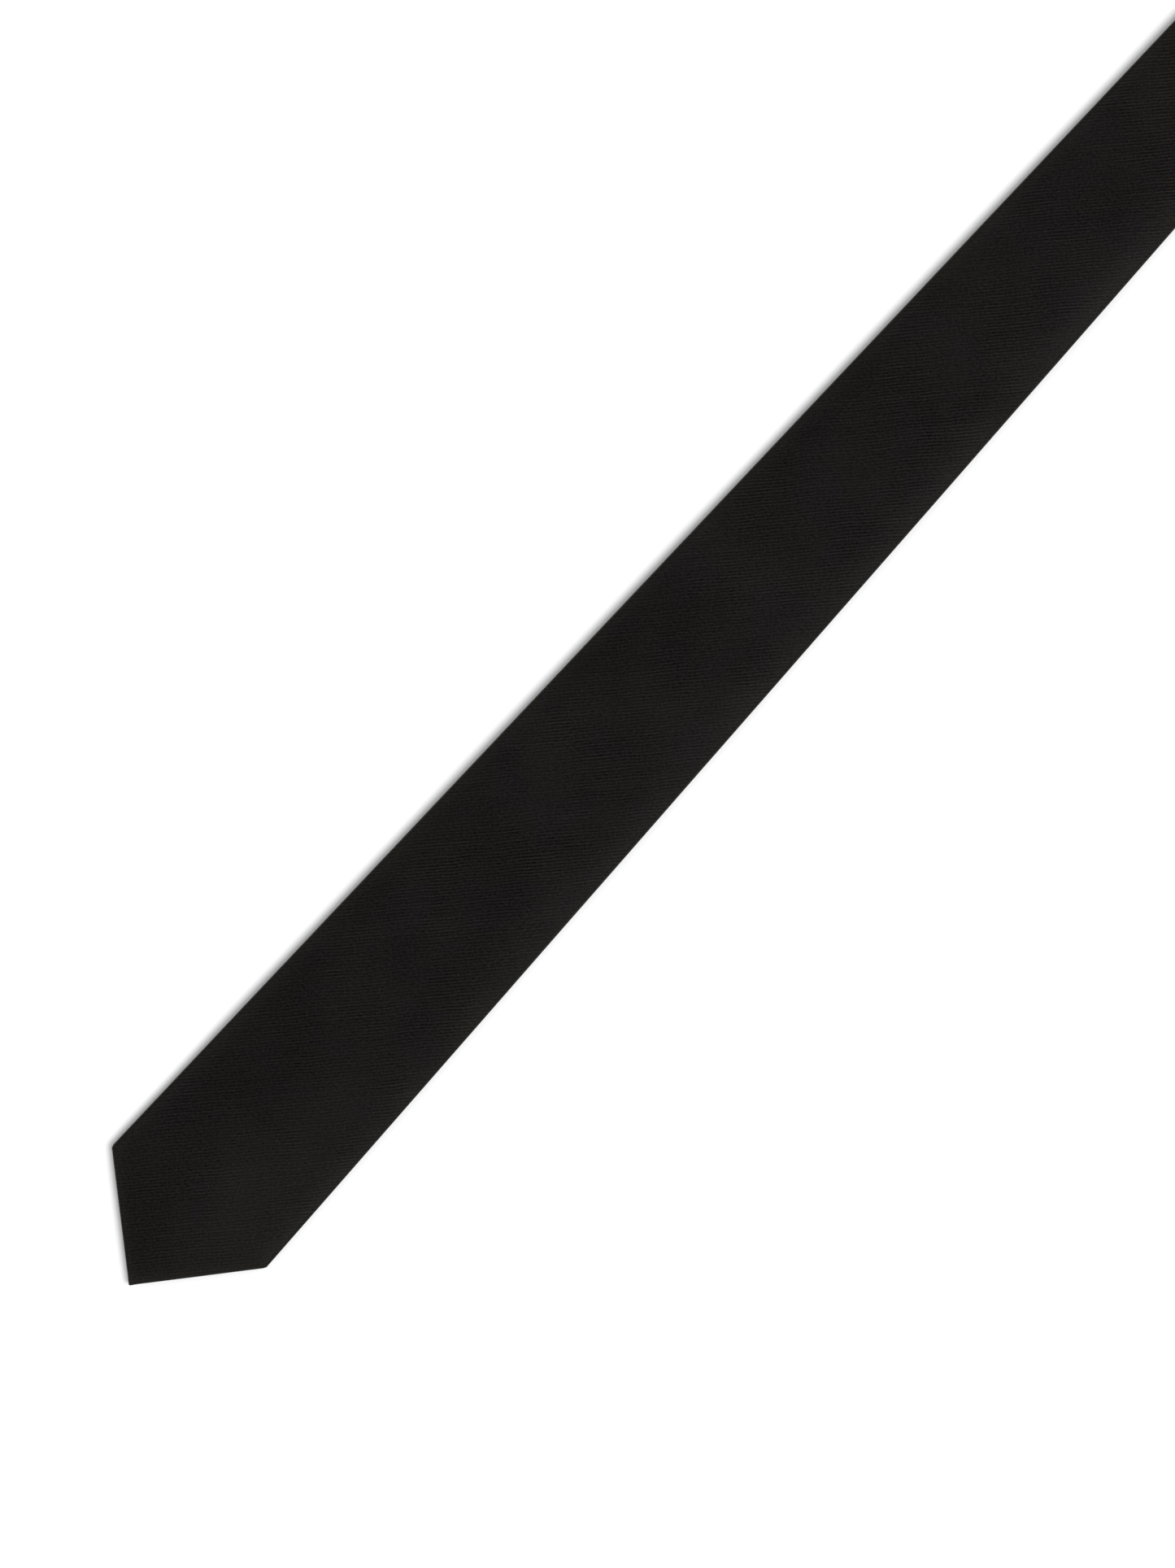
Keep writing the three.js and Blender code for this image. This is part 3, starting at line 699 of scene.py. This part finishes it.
def ribbed_silk(name, dark, light, cool_dark, cool_light):
    n = Nodes(name)
    uv, across, along = n.cloth_uv()
    wander = n.remap(n.noise(uv, 0.045, 3.0, 0.55), 0.3, 0.7, -0.35, 0.35)
    over = n.math("MULTIPLY", across, RIB_ALONG / RIB_PITCH)
    back = n.math("MULTIPLY", along, RIB_ACROSS / RIB_PITCH)
    phase = n.math("ADD", n.math("SUBTRACT", over, back), wander)
    rib = n.math("SINE", n.math("MULTIPLY", phase, math.pi))
    rib = n.math("MULTIPLY", rib, rib)
    number = n.math("FLOOR", phase)
    # the fine yarns that cross each rib, set half a step over from one rib to the next
    run = n.math("MULTIPLY", across, RIB_ACROSS / YARN_PITCH)
    run = n.math("ADD", run, n.math("MULTIPLY", along, RIB_ALONG / YARN_PITCH))
    run = n.math("ADD", run, n.math("MULTIPLY", number, 0.5))
    yarn = n.math("ABSOLUTE", n.math("SINE", n.math("MULTIPLY", run, math.pi)))
    # ribs differ a little from one to the next and show more in some places than others
    each = n.add("ShaderNodeTexWhiteNoise", {"W": number}, noise_dimensions="1D").outputs["Value"]
    along_rib = n.math("ADD", n.math("MULTIPLY", across, RIB_ACROSS), n.math("MULTIPLY", along, RIB_ALONG))
    along_rib = n.math("MULTIPLY", along_rib, 0.16)
    place_on_rib = n.add("ShaderNodeCombineXYZ", {0: along_rib, 1: n.math("MULTIPLY", phase, 0.45)})
    streak = n.remap(n.noise(place_on_rib.outputs[0], 1.0, 3.0, 0.6), 0.32, 0.68, 0.3, 1.15)
    patch = n.remap(n.noise(uv, 0.04, 4.0, 0.6), 0.36, 0.66, 0.35, 1.0)
    patch = n.math("MULTIPLY", patch, streak)
    seen = n.math("MULTIPLY", rib, n.remap(each, 0.0, 1.0, 0.7, 1.0))
    # a faded rib keeps the cloth's mean tone
    seen = n.math("ADD", n.math("MULTIPLY", n.math("SUBTRACT", seen, 0.42), patch), 0.42)
    broad = n.remap(n.noise(uv, 0.03, 4.0, 0.6), 0.3, 0.7, -0.07, 0.07)
    # painted highlight along the edges and on the blade's end: the silk's colour is lighter, its gloss higher
    # and its cool tint weaker there
    painted_highlight = n.add("ShaderNodeAttribute", attribute_name="painted_highlight").outputs["Fac"]
    grain = n.remap(n.noise(uv, 1.1, 2.0, 0.6), 0.3, 0.7, -0.16, 0.16)
    tone = n.math("ADD", n.math("MULTIPLY", seen, 0.52), n.math("MULTIPLY", yarn, 0.14))
    tone = n.math("ADD", n.math("ADD", tone, 0.09), n.math("ADD", grain, broad))
    tone = n.math("ADD", tone, n.math("MULTIPLY", painted_highlight, PAINTED_HIGHLIGHT_STRENGTH), clamp=True)
    warm = n.mix(tone, (*dark, 1), (*light, 1))
    cool = n.mix(tone, (*cool_dark, 1), (*cool_light, 1))
    cool_share = n.remap(n.noise(uv, 0.045, 3.0, 0.6), 0.47, 0.6, 0.0, 0.9)
    cool_share = n.math("MULTIPLY", cool_share, n.remap(painted_highlight, 0.0, 0.6, 1.0, 0.0))
    n.put(n.shader.inputs["Base Color"], n.mix(cool_share, warm, cool))
    n.put(n.shader.inputs["Specular IOR Level"], n.remap(tone, 0.0, 1.0, 0.0, 0.13))
    n.put(n.shader.inputs["Roughness"], n.remap(seen, 0.0, 1.0, 0.6, 0.48))
    height = n.math("ADD", n.math("MULTIPLY", seen, 1.0), n.math("MULTIPLY", yarn, 0.16))
    n.put(n.shader.inputs["Normal"], n.bump(height, 0.6, 0.00012))
    n.set(Sheen_Weight=0.05, Sheen_Roughness=0.3)
    return n.material


def satin(name, dark, light, specular, roughness):
    """A fine smooth weave for linings and labels."""
    n = Nodes(name)
    uv, across, along = n.cloth_uv()
    twill = n.math("MULTIPLY", n.math("ADD", across, along), 9.0)
    twill = n.math("ABSOLUTE", n.math("SINE", twill))
    floats = n.math("ABSOLUTE", n.math("SINE", n.math("MULTIPLY", across, 14.0)))
    cloudy = n.noise(uv, 0.12, 4.0, 0.6)
    tone = n.math("ADD", n.math("MULTIPLY", twill, 0.35), n.math("MULTIPLY", floats, 0.2))
    tone = n.math("ADD", tone, n.math("MULTIPLY", cloudy, 0.45), clamp=True)
    n.put(n.shader.inputs["Base Color"], n.mix(tone, (*dark, 1), (*light, 1)))
    n.put(n.shader.inputs["Roughness"], n.remap(cloudy, 0.3, 0.7, roughness - 0.05, roughness + 0.06))
    height = n.math("ADD", n.math("MULTIPLY", twill, 0.4), n.math("MULTIPLY", cloudy, 2.0))
    n.put(n.shader.inputs["Normal"], n.bump(height, 0.35, 0.00006))
    n.set(Specular_IOR_Level=specular, Sheen_Weight=0.05, Sheen_Roughness=0.35)
    return n.material


def brushed_wool(name, dark, light):
    n = Nodes(name)
    uv, across, along = n.cloth_uv()
    hairs = n.noise(uv, 1.9, 6.0, 0.7)
    weave = n.math("SINE", n.math("MULTIPLY", across, 4.2))
    weave = n.math("MULTIPLY", weave, n.math("SINE", n.math("MULTIPLY", along, 4.2)))
    tone = n.math("ADD", hairs, n.math("MULTIPLY", weave, 0.12), clamp=True)
    n.put(n.shader.inputs["Base Color"], n.mix(tone, (*dark, 1), (*light, 1)))
    n.put(n.shader.inputs["Roughness"], n.remap(hairs, 0.3, 0.7, 0.85, 0.97))
    n.put(n.shader.inputs["Normal"], n.bump(tone, 0.6, 0.0002))
    n.set(Specular_IOR_Level=0.2, Sheen_Weight=0.15, Sheen_Roughness=0.6)
    return n.material


def twisted_thread(name, dark, light):
    """Sewing thread with its ply, in the object's own coordinates, because it has no cloth map."""
    n = Nodes(name)
    where = n.add("ShaderNodeTexCoord").outputs["Object"]
    inputs = {"Vector": where, "Scale": 900.0, "Distortion": 1.5}
    wave = n.add("ShaderNodeTexWave", inputs, bands_direction="DIAGONAL").outputs["Fac"]
    n.put(n.shader.inputs["Base Color"], n.mix(wave, (*dark, 1), (*light, 1)))
    n.put(n.shader.inputs["Roughness"], n.remap(wave, 0.0, 1.0, 0.55, 0.4))
    n.put(n.shader.inputs["Normal"], n.bump(wave, 0.5, 0.00005))
    n.set(Specular_IOR_Level=0.16, Sheen_Weight=0.03)
    return n.material


def paint(piece, material):
    piece.data.materials.clear()
    piece.data.materials.append(material)


# ---------- stage, light and camera ----------


def make_stage():
    size = TABLE_HALF_SIZE
    mesh = bpy.data.meshes.new("table_top")
    corners = [(-size, -size), (size, -size), (size, size), (-size, size)]
    mesh.from_pydata([(x, y, -TABLE_BELOW) for x, y in corners], [], [(0, 1, 2, 3)])
    table = bpy.data.objects.new("table_top", mesh)
    bpy.context.scene.collection.objects.link(table)
    n = Nodes("white_table")
    n.set(Base_Color=(0.93, 0.93, 0.93, 1), Roughness=0.9, Specular_IOR_Level=0.0)
    mesh.materials.append(n.material)


def make_light():
    world = bpy.data.worlds.new("studio")
    bpy.context.scene.world = world
    world.use_nodes = True
    background = world.node_tree.nodes["Background"]
    background.inputs["Color"].default_value = (1, 1, 1, 1)
    background.inputs["Strength"].default_value = SKY
    sun = bpy.data.lights.new("softbox", "SUN")
    sun.energy = SUN_STRENGTH
    sun.angle = math.radians(SUN_SPREAD)
    lamp = bpy.data.objects.new("softbox", sun)
    bpy.context.scene.collection.objects.link(lamp)
    turn = math.atan2(SUN_FROM[1], SUN_FROM[0])
    lamp.rotation_euler = (0, math.radians(90 - SUN_HEIGHT), turn)
    lamp.location = (1, 0, 1)


def make_camera():
    data = bpy.data.cameras.new("picture")
    data.lens = LENS
    data.sensor_width = SENSOR
    data.clip_end = 50
    camera = bpy.data.objects.new("picture", data)
    bpy.context.scene.collection.objects.link(camera)
    distance = LENS / SENSOR * PICTURE_HEIGHT + PICTURE_PLANE
    camera.location = (
        PICTURE_CENTRE_X * MM,
        (TIP_Y + PICTURE_CENTRE_FROM_TIP) * MM,
        distance * MM,
    )
    camera.rotation_euler = (0, 0, math.radians(PICTURE_TURN))
    bpy.context.scene.camera = camera


make_stage()
make_light()
make_camera()
bpy.context.scene.view_settings.view_transform = "Standard"
bpy.context.scene.view_settings.look = "None"

silk = ribbed_silk(
    "black_ribbed_silk",
    (0.0007, 0.0005, 0.0003),
    (0.0083, 0.0073, 0.0053),
    (0.0007, 0.0004, 0.0006),
    (0.0082, 0.0062, 0.0074),
)
lining = satin("black_lining", (0.0020, 0.0020, 0.0024), (0.0085, 0.0085, 0.0098), 0.07, 0.46)
label_satin = satin("charcoal_label", (0.008, 0.008, 0.010), (0.021, 0.021, 0.025), 0.2, 0.36)
care_satin = satin("off_white_label", (0.55, 0.54, 0.50), (0.74, 0.73, 0.69), 0.4, 0.38)
wool = brushed_wool("brushed_wool", (0.40, 0.37, 0.31), (0.66, 0.63, 0.56))
black_thread = twisted_thread("black_thread", (0.003, 0.003, 0.0033), (0.013, 0.013, 0.014))


# ---------- bodies ----------


def bends_with_blade(piece):
    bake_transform(piece)


def bends_over_neck(piece):
    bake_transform(piece)


def bends_under_neck(piece):
    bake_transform(piece)


def stations(*spans):
    """Stations that meet end to end, each span (from, to, step)."""
    found = [np.linspace(a, b, max(2, round(abs(b - a) / step) + 1)) for a, b, step in spans]
    return np.concatenate([found[0]] + [more[1:] for more in found[1:]])


def ramp(values, start, end):
    return smooth((np.asarray(values) - start) / (end - start))


# the stretches where a cloth's rows lie closer together, and how far apart the rows are
TIP_ZONE = (0.25, 4.0)
BLADE_END_TO = 40.0
TAIL_END_TO = 30.0
SEAM_ZONE = 2.0
CREASE_FROM = TIP_HINGE_AT - CREASE_REACH - 1
CREASE_TO = TIP_HINGE_AT + CREASE_REACH + 1
TIP_STEP = 0.5
END_STEP = 1.0
CREASE_STEP = 0.4
PLAIN_STEP = 2.5
SEAM_STEP = 0.3
WOOL_STEP = 5.0
WOOL_CLEAR_OF_SEAM = 0.2


# ---------- blade ----------

blade_rows = stations(
    (*TIP_ZONE, TIP_STEP),
    (TIP_ZONE[1], BLADE_END_TO, END_STEP),
    (BLADE_END_TO, CREASE_FROM, 1.5),
    (CREASE_FROM, CREASE_TO, CREASE_STEP),
    (CREASE_TO, BLADE_SEAM_AT - SEAM_ZONE, PLAIN_STEP),
    (BLADE_SEAM_AT - SEAM_ZONE, BLADE_SEAM_AT - SEAM_HALF_GAP, SEAM_STEP),
)
blade_lean = ramp(blade_rows, BLADE_LEAN_FROM, BLADE_SEAM_AT)
blade_cloth = shell("blade_cloth", BLADE_END, blade_rows, blade_lean, [BLADE_SEAM_AT])
paint(blade_cloth, silk)
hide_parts("blade_tip_shell", "blade_shell")
bends_with_blade(blade_cloth)

blade_tipping = strip(
    "blade_tipping_cloth",
    BLADE_END,
    stations((TIPPING_FROM, BLADE_END_TO, 1.5), (BLADE_END_TO, BLADE_TIPPING_TO, 2.0)),
    TIPPING_INSET,
    TIPPING_LEVEL,
    TIPPING_CLOTH,
    41,
    TIPPING_PUCKERS,
)
paint(blade_tipping, lining)
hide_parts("blade_tipping")
bends_with_blade(blade_tipping)

wool_rows = stations(
    (INTERLINING_FROM, BLADE_END_TO, 2.0),
    (BLADE_END_TO, CREASE_FROM, 3.0),
    (CREASE_FROM, CREASE_TO, CREASE_STEP),
    (CREASE_TO, BLADE_SEAM_AT - WOOL_CLEAR_OF_SEAM, WOOL_STEP),
)
blade_wool = strip(
    "blade_interlining_wool", BLADE_END, wool_rows, INTERLINING_INSET, INTERLINING_LEVEL, INTERLINING_CLOTH
)
paint(blade_wool, wool)
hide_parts("blade_tip_interlining", "blade_interlining")
bends_with_blade(blade_wool)


def seam_stitches(start, end):
    """Slip stitches along the lapped edge of the back seam."""
    made = []
    for along in np.arange(start, end, SLIP_STITCH["pitch"]):
        out = (LAP + SLIP_STITCH["over_edge"], along)
        back = (LAP - SLIP_STITCH["inside"], along + SLIP_STITCH["length"])
        made.append(stitch(out, back, SLIP_STITCH["height"]))
    return made


TACK = {"past_vee": 4.0, "half_width": 3.2, "half_length": 0.75, "wraps": 25, "slant": 0.07, "height": 0.36}
TACK_CORE = {"half_width": 3.6, "height": 0.2}


def bar_tack(end):
    """Close wraps of thread across the top of the V."""
    middle = end["along"](end["vee_at"] + TACK["past_vee"])
    half = TACK["half_length"]
    wraps = []
    for n, x in enumerate(np.linspace(-TACK["half_width"], TACK["half_width"], TACK["wraps"])):
        slant = TACK["slant"] if n % 2 else -TACK["slant"]
        wraps.append(stitch((x - slant, middle - half), (x + slant, middle + half), TACK["height"]))
    core = TACK_CORE["half_width"]
    wraps.append(stitch((-core, middle), (core, middle), TACK_CORE["height"]))
    return wraps


# one hem stitch, point by point: how far past the flap's edge onto the tipping, its level, and how far on
HEM_STITCH = ((0.5, 0.62, 0.6), (0.05, 0.0, 0.3), (-0.25, -0.12, 0.1), (-0.55, 0.1, 0.0))
HEM_STITCHES_FROM = 9.0
HEM_STITCHES_STOP = 5.0


def hem_stitches(end):
    """Small stitches that catch the tipping all round the hem and the V."""
    onward = 1.0 if end is BLADE_END else -1.0
    made = []
    for index, inward in ((0, 1), (1, -1)):
        for from_tip in np.arange(HEM_STITCHES_FROM, end["vee_at"] - HEM_STITCHES_STOP, HEM_STITCH_PITCH):
            edge = flap_edges(end, np.array([from_tip]))[index][0]
            along = end["along"](from_tip)
            made.append([[edge + inward * x, level, along + onward * on] for x, level, on in HEM_STITCH])
    return made


CLEAR_OF_VEE = 12.0
CLEAR_OF_SEAM = 40.0

blade_stitches = threads(
    "blade_slip_stitches",
    seam_stitches(BLADE_VEE_AT + CLEAR_OF_VEE, BLADE_SEAM_AT - CLEAR_OF_SEAM),
    SLIP_STITCH_RADIUS,
)
paint(blade_stitches, black_thread)
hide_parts("blade_slip_stitch")
bends_with_blade(blade_stitches)

blade_tack = threads("blade_bar_tack_wraps", bar_tack(BLADE_END), TACK_RADIUS)
paint(blade_tack, black_thread)
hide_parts("blade_bar_tack")
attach(blade_tack, "blade_tip")

blade_hem = threads("blade_hem_stitches", hem_stitches(BLADE_END), HEM_STITCH_RADIUS)
paint(blade_hem, black_thread)
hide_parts("blade_hem_thread")
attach(blade_hem, "blade_tip")


# the section's columns without the turned-in edges, and how much narrower than the section a seam's thread is
SEAM_THREAD_COLUMNS = slice(12, -10)
SEAM_THREAD_NARROWER = 0.995


def bias_seam_thread(name, seam_at):
    """The seam's own thread, down in the groove between the two pieces."""
    x, level, across, _ = shell_section(BLADE_END, [seam_at])
    x, level, across = (values[0, SEAM_THREAD_COLUMNS] for values in (x, level, across))
    inward = np.where(level > EDGE_RADIUS, -1.0, 1.0) * SEAM_THREAD_DEPTH
    route = np.stack([x * SEAM_THREAD_NARROWER, level + inward, seam_at + across], 1)
    return threads(name, [route], SEAM_THREAD_RADIUS)


blade_seam = bias_seam_thread("blade_bias_seam_thread", BLADE_SEAM_AT)
paint(blade_seam, black_thread)
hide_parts("blade_seam_thread")
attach(blade_seam, "blade")

# ---------- neck ----------

RISE_FROM = FOLD_CENTRE_AT - FOLD_RISE
BEND_FROM = FOLD_CENTRE_AT - 8
UNDER_PLAIN_FROM = FOLD_CENTRE_AT + 60
NECK_STITCHES_FROM = BLADE_SEAM_AT + 12
NECK_STITCHES_TO = SPLIT_AT - 10

neck_rows = stations(
    (BLADE_SEAM_AT + SEAM_HALF_GAP, BLADE_SEAM_AT + SEAM_ZONE, SEAM_STEP),
    (BLADE_SEAM_AT + SEAM_ZONE, RISE_FROM, PLAIN_STEP),
    (RISE_FROM, BEND_FROM, 1.5),
    (BEND_FROM, SPLIT_AT, 0.5),
)
neck_lean = 1 - ramp(neck_rows, BLADE_SEAM_AT, NECK_LEAN_TO)
neck_cloth = shell("neck_cloth", BLADE_END, neck_rows, neck_lean, [BLADE_SEAM_AT])
paint(neck_cloth, silk)
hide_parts("neck_shell")
bends_over_neck(neck_cloth)

under_rows = stations(
    (SPLIT_AT, UNDER_PLAIN_FROM, END_STEP),
    (UNDER_PLAIN_FROM, TAIL_SEAM_AT - SEAM_ZONE, PLAIN_STEP),
    (TAIL_SEAM_AT - SEAM_ZONE, TAIL_SEAM_AT - SEAM_HALF_GAP, SEAM_STEP),
)
under_lean = ramp(under_rows, UNDER_LEAN_FROM, TAIL_SEAM_AT)
neck_under = shell("neck_cloth_under", BLADE_END, under_rows, under_lean, [TAIL_SEAM_AT])
paint(neck_under, silk)
bends_under_neck(neck_under)

neck_wool = strip(
    "neck_interlining_wool",
    BLADE_END,
    stations(
        (BLADE_SEAM_AT + WOOL_CLEAR_OF_SEAM, RISE_FROM, WOOL_STEP),
        (RISE_FROM, BEND_FROM, 1.5),
        (BEND_FROM, SPLIT_AT, 0.7),
    ),
    INTERLINING_INSET,
    INTERLINING_LEVEL,
    INTERLINING_CLOTH,
)
paint(neck_wool, wool)
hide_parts("neck_interlining")
bends_over_neck(neck_wool)

under_wool = strip(
    "neck_interlining_wool_under",
    BLADE_END,
    stations(
        (SPLIT_AT, UNDER_PLAIN_FROM, 2.0),
        (UNDER_PLAIN_FROM, TAIL_SEAM_AT - WOOL_CLEAR_OF_SEAM, WOOL_STEP),
    ),
    INTERLINING_INSET,
    INTERLINING_LEVEL,
    INTERLINING_CLOTH,
)
paint(under_wool, wool)
bends_under_neck(under_wool)

neck_slips = seam_stitches(NECK_STITCHES_FROM, NECK_STITCHES_TO)
neck_stitches = threads("neck_slip_stitches", neck_slips, SLIP_STITCH_RADIUS)
paint(neck_stitches, black_thread)
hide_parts("neck_slip_stitch")
bends_over_neck(neck_stitches)

# ---------- tail ----------

TAIL_STRIPS_FINE_TO = 26.0

tail_seam_from_tip = TIE_LENGTH - TAIL_SEAM_AT
tail_rows = stations(
    (*TIP_ZONE, TIP_STEP),
    (TIP_ZONE[1], TAIL_END_TO, END_STEP),
    (TAIL_END_TO, 100, 1.6),
    (100, tail_seam_from_tip - SEAM_ZONE, PLAIN_STEP),
    (tail_seam_from_tip - SEAM_ZONE, tail_seam_from_tip - SEAM_HALF_GAP, SEAM_STEP),
)
tail_lean = ramp(tail_rows, tail_seam_from_tip - TAIL_LEAN_LENGTH, tail_seam_from_tip)
tail_cloth = shell("tail_cloth", TAIL_END, tail_rows, tail_lean, [TAIL_SEAM_AT])
paint(tail_cloth, silk)
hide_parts("tail_shell")
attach(tail_cloth, "tail")

tail_tipping = strip(
    "tail_tipping_cloth",
    TAIL_END,
    stations((TIPPING_FROM, TAIL_STRIPS_FINE_TO, 1.5), (TAIL_STRIPS_FINE_TO, TAIL_TIPPING_TO, 2.0)),
    TIPPING_INSET,
    TIPPING_LEVEL,
    TIPPING_CLOTH,
    31,
    TIPPING_PUCKERS,
)
paint(tail_tipping, lining)
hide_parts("tail_tipping")
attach(tail_tipping, "tail")

tail_wool = strip(
    "tail_interlining_wool",
    TAIL_END,
    stations(
        (INTERLINING_FROM, TAIL_STRIPS_FINE_TO, 2.0),
        (TAIL_STRIPS_FINE_TO, tail_seam_from_tip - WOOL_CLEAR_OF_SEAM, WOOL_STEP),
    ),
    INTERLINING_INSET,
    INTERLINING_LEVEL,
    INTERLINING_CLOTH,
)
paint(tail_wool, wool)
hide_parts("tail_interlining")
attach(tail_wool, "tail")

tail_slips = seam_stitches(TAIL_SEAM_AT + CLEAR_OF_SEAM, TIE_LENGTH - TAIL_VEE_AT - CLEAR_OF_VEE)
for name, routes, radius, node in (
    ("tail_slip_stitches", tail_slips, SLIP_STITCH_RADIUS, "tail_slip_stitch"),
    ("tail_bar_tack_wraps", bar_tack(TAIL_END), TACK_RADIUS, "tail_bar_tack"),
    ("tail_hem_stitches", hem_stitches(TAIL_END), HEM_STITCH_RADIUS, "tail_hem_thread"),
):
    piece = threads(name, routes, radius)
    paint(piece, black_thread)
    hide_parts(node)
    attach(piece, "tail")

tail_seam = bias_seam_thread("tail_bias_seam_thread", TAIL_SEAM_AT)
paint(tail_seam, black_thread)
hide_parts("tail_seam_thread")
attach(tail_seam, "tail")

# ---------- keeper loop and labels, on the blade's back ----------

KEEPER_BELOW_BLADE = 0.45
KEEPER_BEND = 1.1
KEEPER_FLANGE = (0.5, 2.8)
KEEPER_ROWS = 9
KEEPER_EDGE_CURL = 0.08


def keeper_band():
    """A flat band under the tail whose two ends turn out against the blade's back."""
    half = KEEPER_HALF_INSIDE + KEEPER_CLOTH / 2
    low = KEEPER_CLOTH / 2
    high = BLADE_LIFT - KEEPER_BELOW_BLADE
    bend = KEEPER_BEND
    right = [(x, low) for x in np.linspace(0, half - bend, 12)]
    right += [
        (half - bend + bend * math.sin(a), low + bend - bend * math.cos(a))
        for a in np.linspace(0.3, math.pi / 2, 5)
    ]
    right += [
        (half + bend - bend * math.cos(a), high - bend + bend * math.sin(a))
        for a in np.linspace(0, math.pi / 2, 6)
    ]
    flange_from, flange_to = half + bend + KEEPER_FLANGE[0], half + KEEPER_FLANGE[1]
    right += [(x, high) for x in np.linspace(flange_from, flange_to, 4)]
    right = np.array(right)
    line = np.concatenate([right[::-1] * [-1, 1], right[1:]])
    # the blade sags beside the tail, and the band's ends go with it
    middle = np.full(len(line), KEEPER_AT + KEEPER_WIDTH / 2)
    line[:, 1] -= droop(line[:, 0], middle) * (line[:, 1] / high)
    along = np.linspace(KEEPER_AT, KEEPER_AT + KEEPER_WIDTH, KEEPER_ROWS)
    curl = KEEPER_EDGE_CURL * np.abs(np.linspace(-1, 1, KEEPER_ROWS)) ** 4
    x = line[None, :, 0] + 0 * along[:, None]
    z = line[None, :, 1] + curl[:, None] * np.where(line[:, 1] < 1, 1, -1)[None, :]
    points = np.stack([x * MM, (along[:, None] + TIP_Y + 0 * x) * MM, z * MM], -1)
    gone = np.concatenate([[0], np.cumsum(np.linalg.norm(np.diff(line, axis=0), axis=1))])
    uv = np.stack([gone[None, :] + 0 * x, along[:, None] + 0 * x], -1)
    down = np.tile(np.array([0.0, 0.0, -1.0]), (len(along), 1))
    return cloth("keeper_band", points, uv, KEEPER_CLOTH, (len(line) // 2, down))


keeper = keeper_band()
paint(keeper, silk)
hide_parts("keeper_loop")
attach(keeper, "blade")


# one wrap of a tack: how far across from its middle, its level, and how far on along the tie, point by point
KEEPER_WRAP = ((-0.9, -0.55, 0.0), (-0.5, -1.0, 0.05), (0.5, -1.0, 0.1), (0.9, -0.55, 0.15))
KEEPER_TACK_OUT = 2.3
KEEPER_TACK_ENDS = (1.2, 1.0)

for side, name in zip(SIDES, ("left", "right")):
    centre = side * (KEEPER_HALF_INSIDE + KEEPER_TACK_OUT)
    first, last = KEEPER_AT + KEEPER_TACK_ENDS[0], KEEPER_AT + KEEPER_WIDTH - KEEPER_TACK_ENDS[1]
    wraps = [
        [[centre + x, level, along + on] for x, level, on in KEEPER_WRAP]
        for along in np.arange(first, last, KEEPER_TACK_PITCH)
    ]
    tack = threads(f"keeper_tack_{name}_wraps", wraps, KEEPER_TACK_RADIUS)
    paint(tack, black_thread)
    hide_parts(f"keeper_tack_{name}")
    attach(tack, "blade")


LABEL_ROW_STEP = 1.5
LABEL_COLUMNS = 25
LABEL_HEM_SWELL = 0.1
LABEL_WAVE = 0.05


def label_cloth(name, label, hem):
    """A woven label under the blade's back, its two ends turned under."""
    along = stations((label["from"], label["to"], LABEL_ROW_STEP))
    x = np.linspace(-label["half"], label["half"], LABEL_COLUMNS)[None, :] + 0 * along[:, None]
    to_end = np.minimum(along - label["from"], label["to"] - along)[:, None]
    swell = LABEL_HEM_SWELL * (1 - smooth((to_end - hem) / 1.2))
    swell = swell + LABEL_WAVE * np.sin(x / 4.1 + along[:, None] / 6.0)
    points = place(x, LABEL_LEVEL - swell, along[:, None] + 0 * x)
    uv = np.stack([x, along[:, None] + 0 * x], -1)
    down = np.tile(np.array([0.0, 0.0, -1.0]), (len(along), 1))
    return cloth(name, points, uv, LABEL_CLOTH, (LABEL_COLUMNS // 2, down))


# one stitch over a label's edge: how far in from the edge, level, and how far on along it, point by point
LABEL_STITCH = ((1.0, -0.5, 0.0), (0.3, -0.6, 0.08), (-0.35, -0.42, 0.16), (-0.6, 0.05, 0.24))


def edge_stitches(label, with_sides, pitch):
    """Stitches over a label's two ends, and over its sides too where they are sewn."""
    half = label["half"]
    made = []
    for edge, out in zip((label["from"], label["to"]), SIDES):
        for x in np.arange(-half + 1, half - 0.5, pitch):
            made.append([[x + on, level, edge - out * inward] for inward, level, on in LABEL_STITCH])
    if with_sides:
        for side in SIDES:
            for along in np.arange(label["from"] + 1, label["to"] - 0.5, pitch):
                route = [[side * (half - inward), level, along + on] for inward, level, on in LABEL_STITCH]
                made.append(route)
    return made


maker = label_cloth("maker_label_satin", MAKER_LABEL, 5.0)
paint(maker, label_satin)
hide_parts("maker_label")
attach(maker, "blade")

maker_thread = threads("maker_label_stitches", edge_stitches(MAKER_LABEL, True, 2.4), LABEL_STITCH_RADIUS)
paint(maker_thread, black_thread)
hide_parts("maker_label_thread")
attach(maker_thread, "blade")

care = label_cloth("care_label_satin", CARE_LABEL, 3.0)
paint(care, care_satin)
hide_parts("care_label")
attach(care, "blade")

care_thread = threads("care_label_stitches", edge_stitches(CARE_LABEL, False, 1.6), LABEL_STITCH_RADIUS)
paint(care_thread, black_thread)
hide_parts("care_label_tack")
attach(care_thread, "blade")
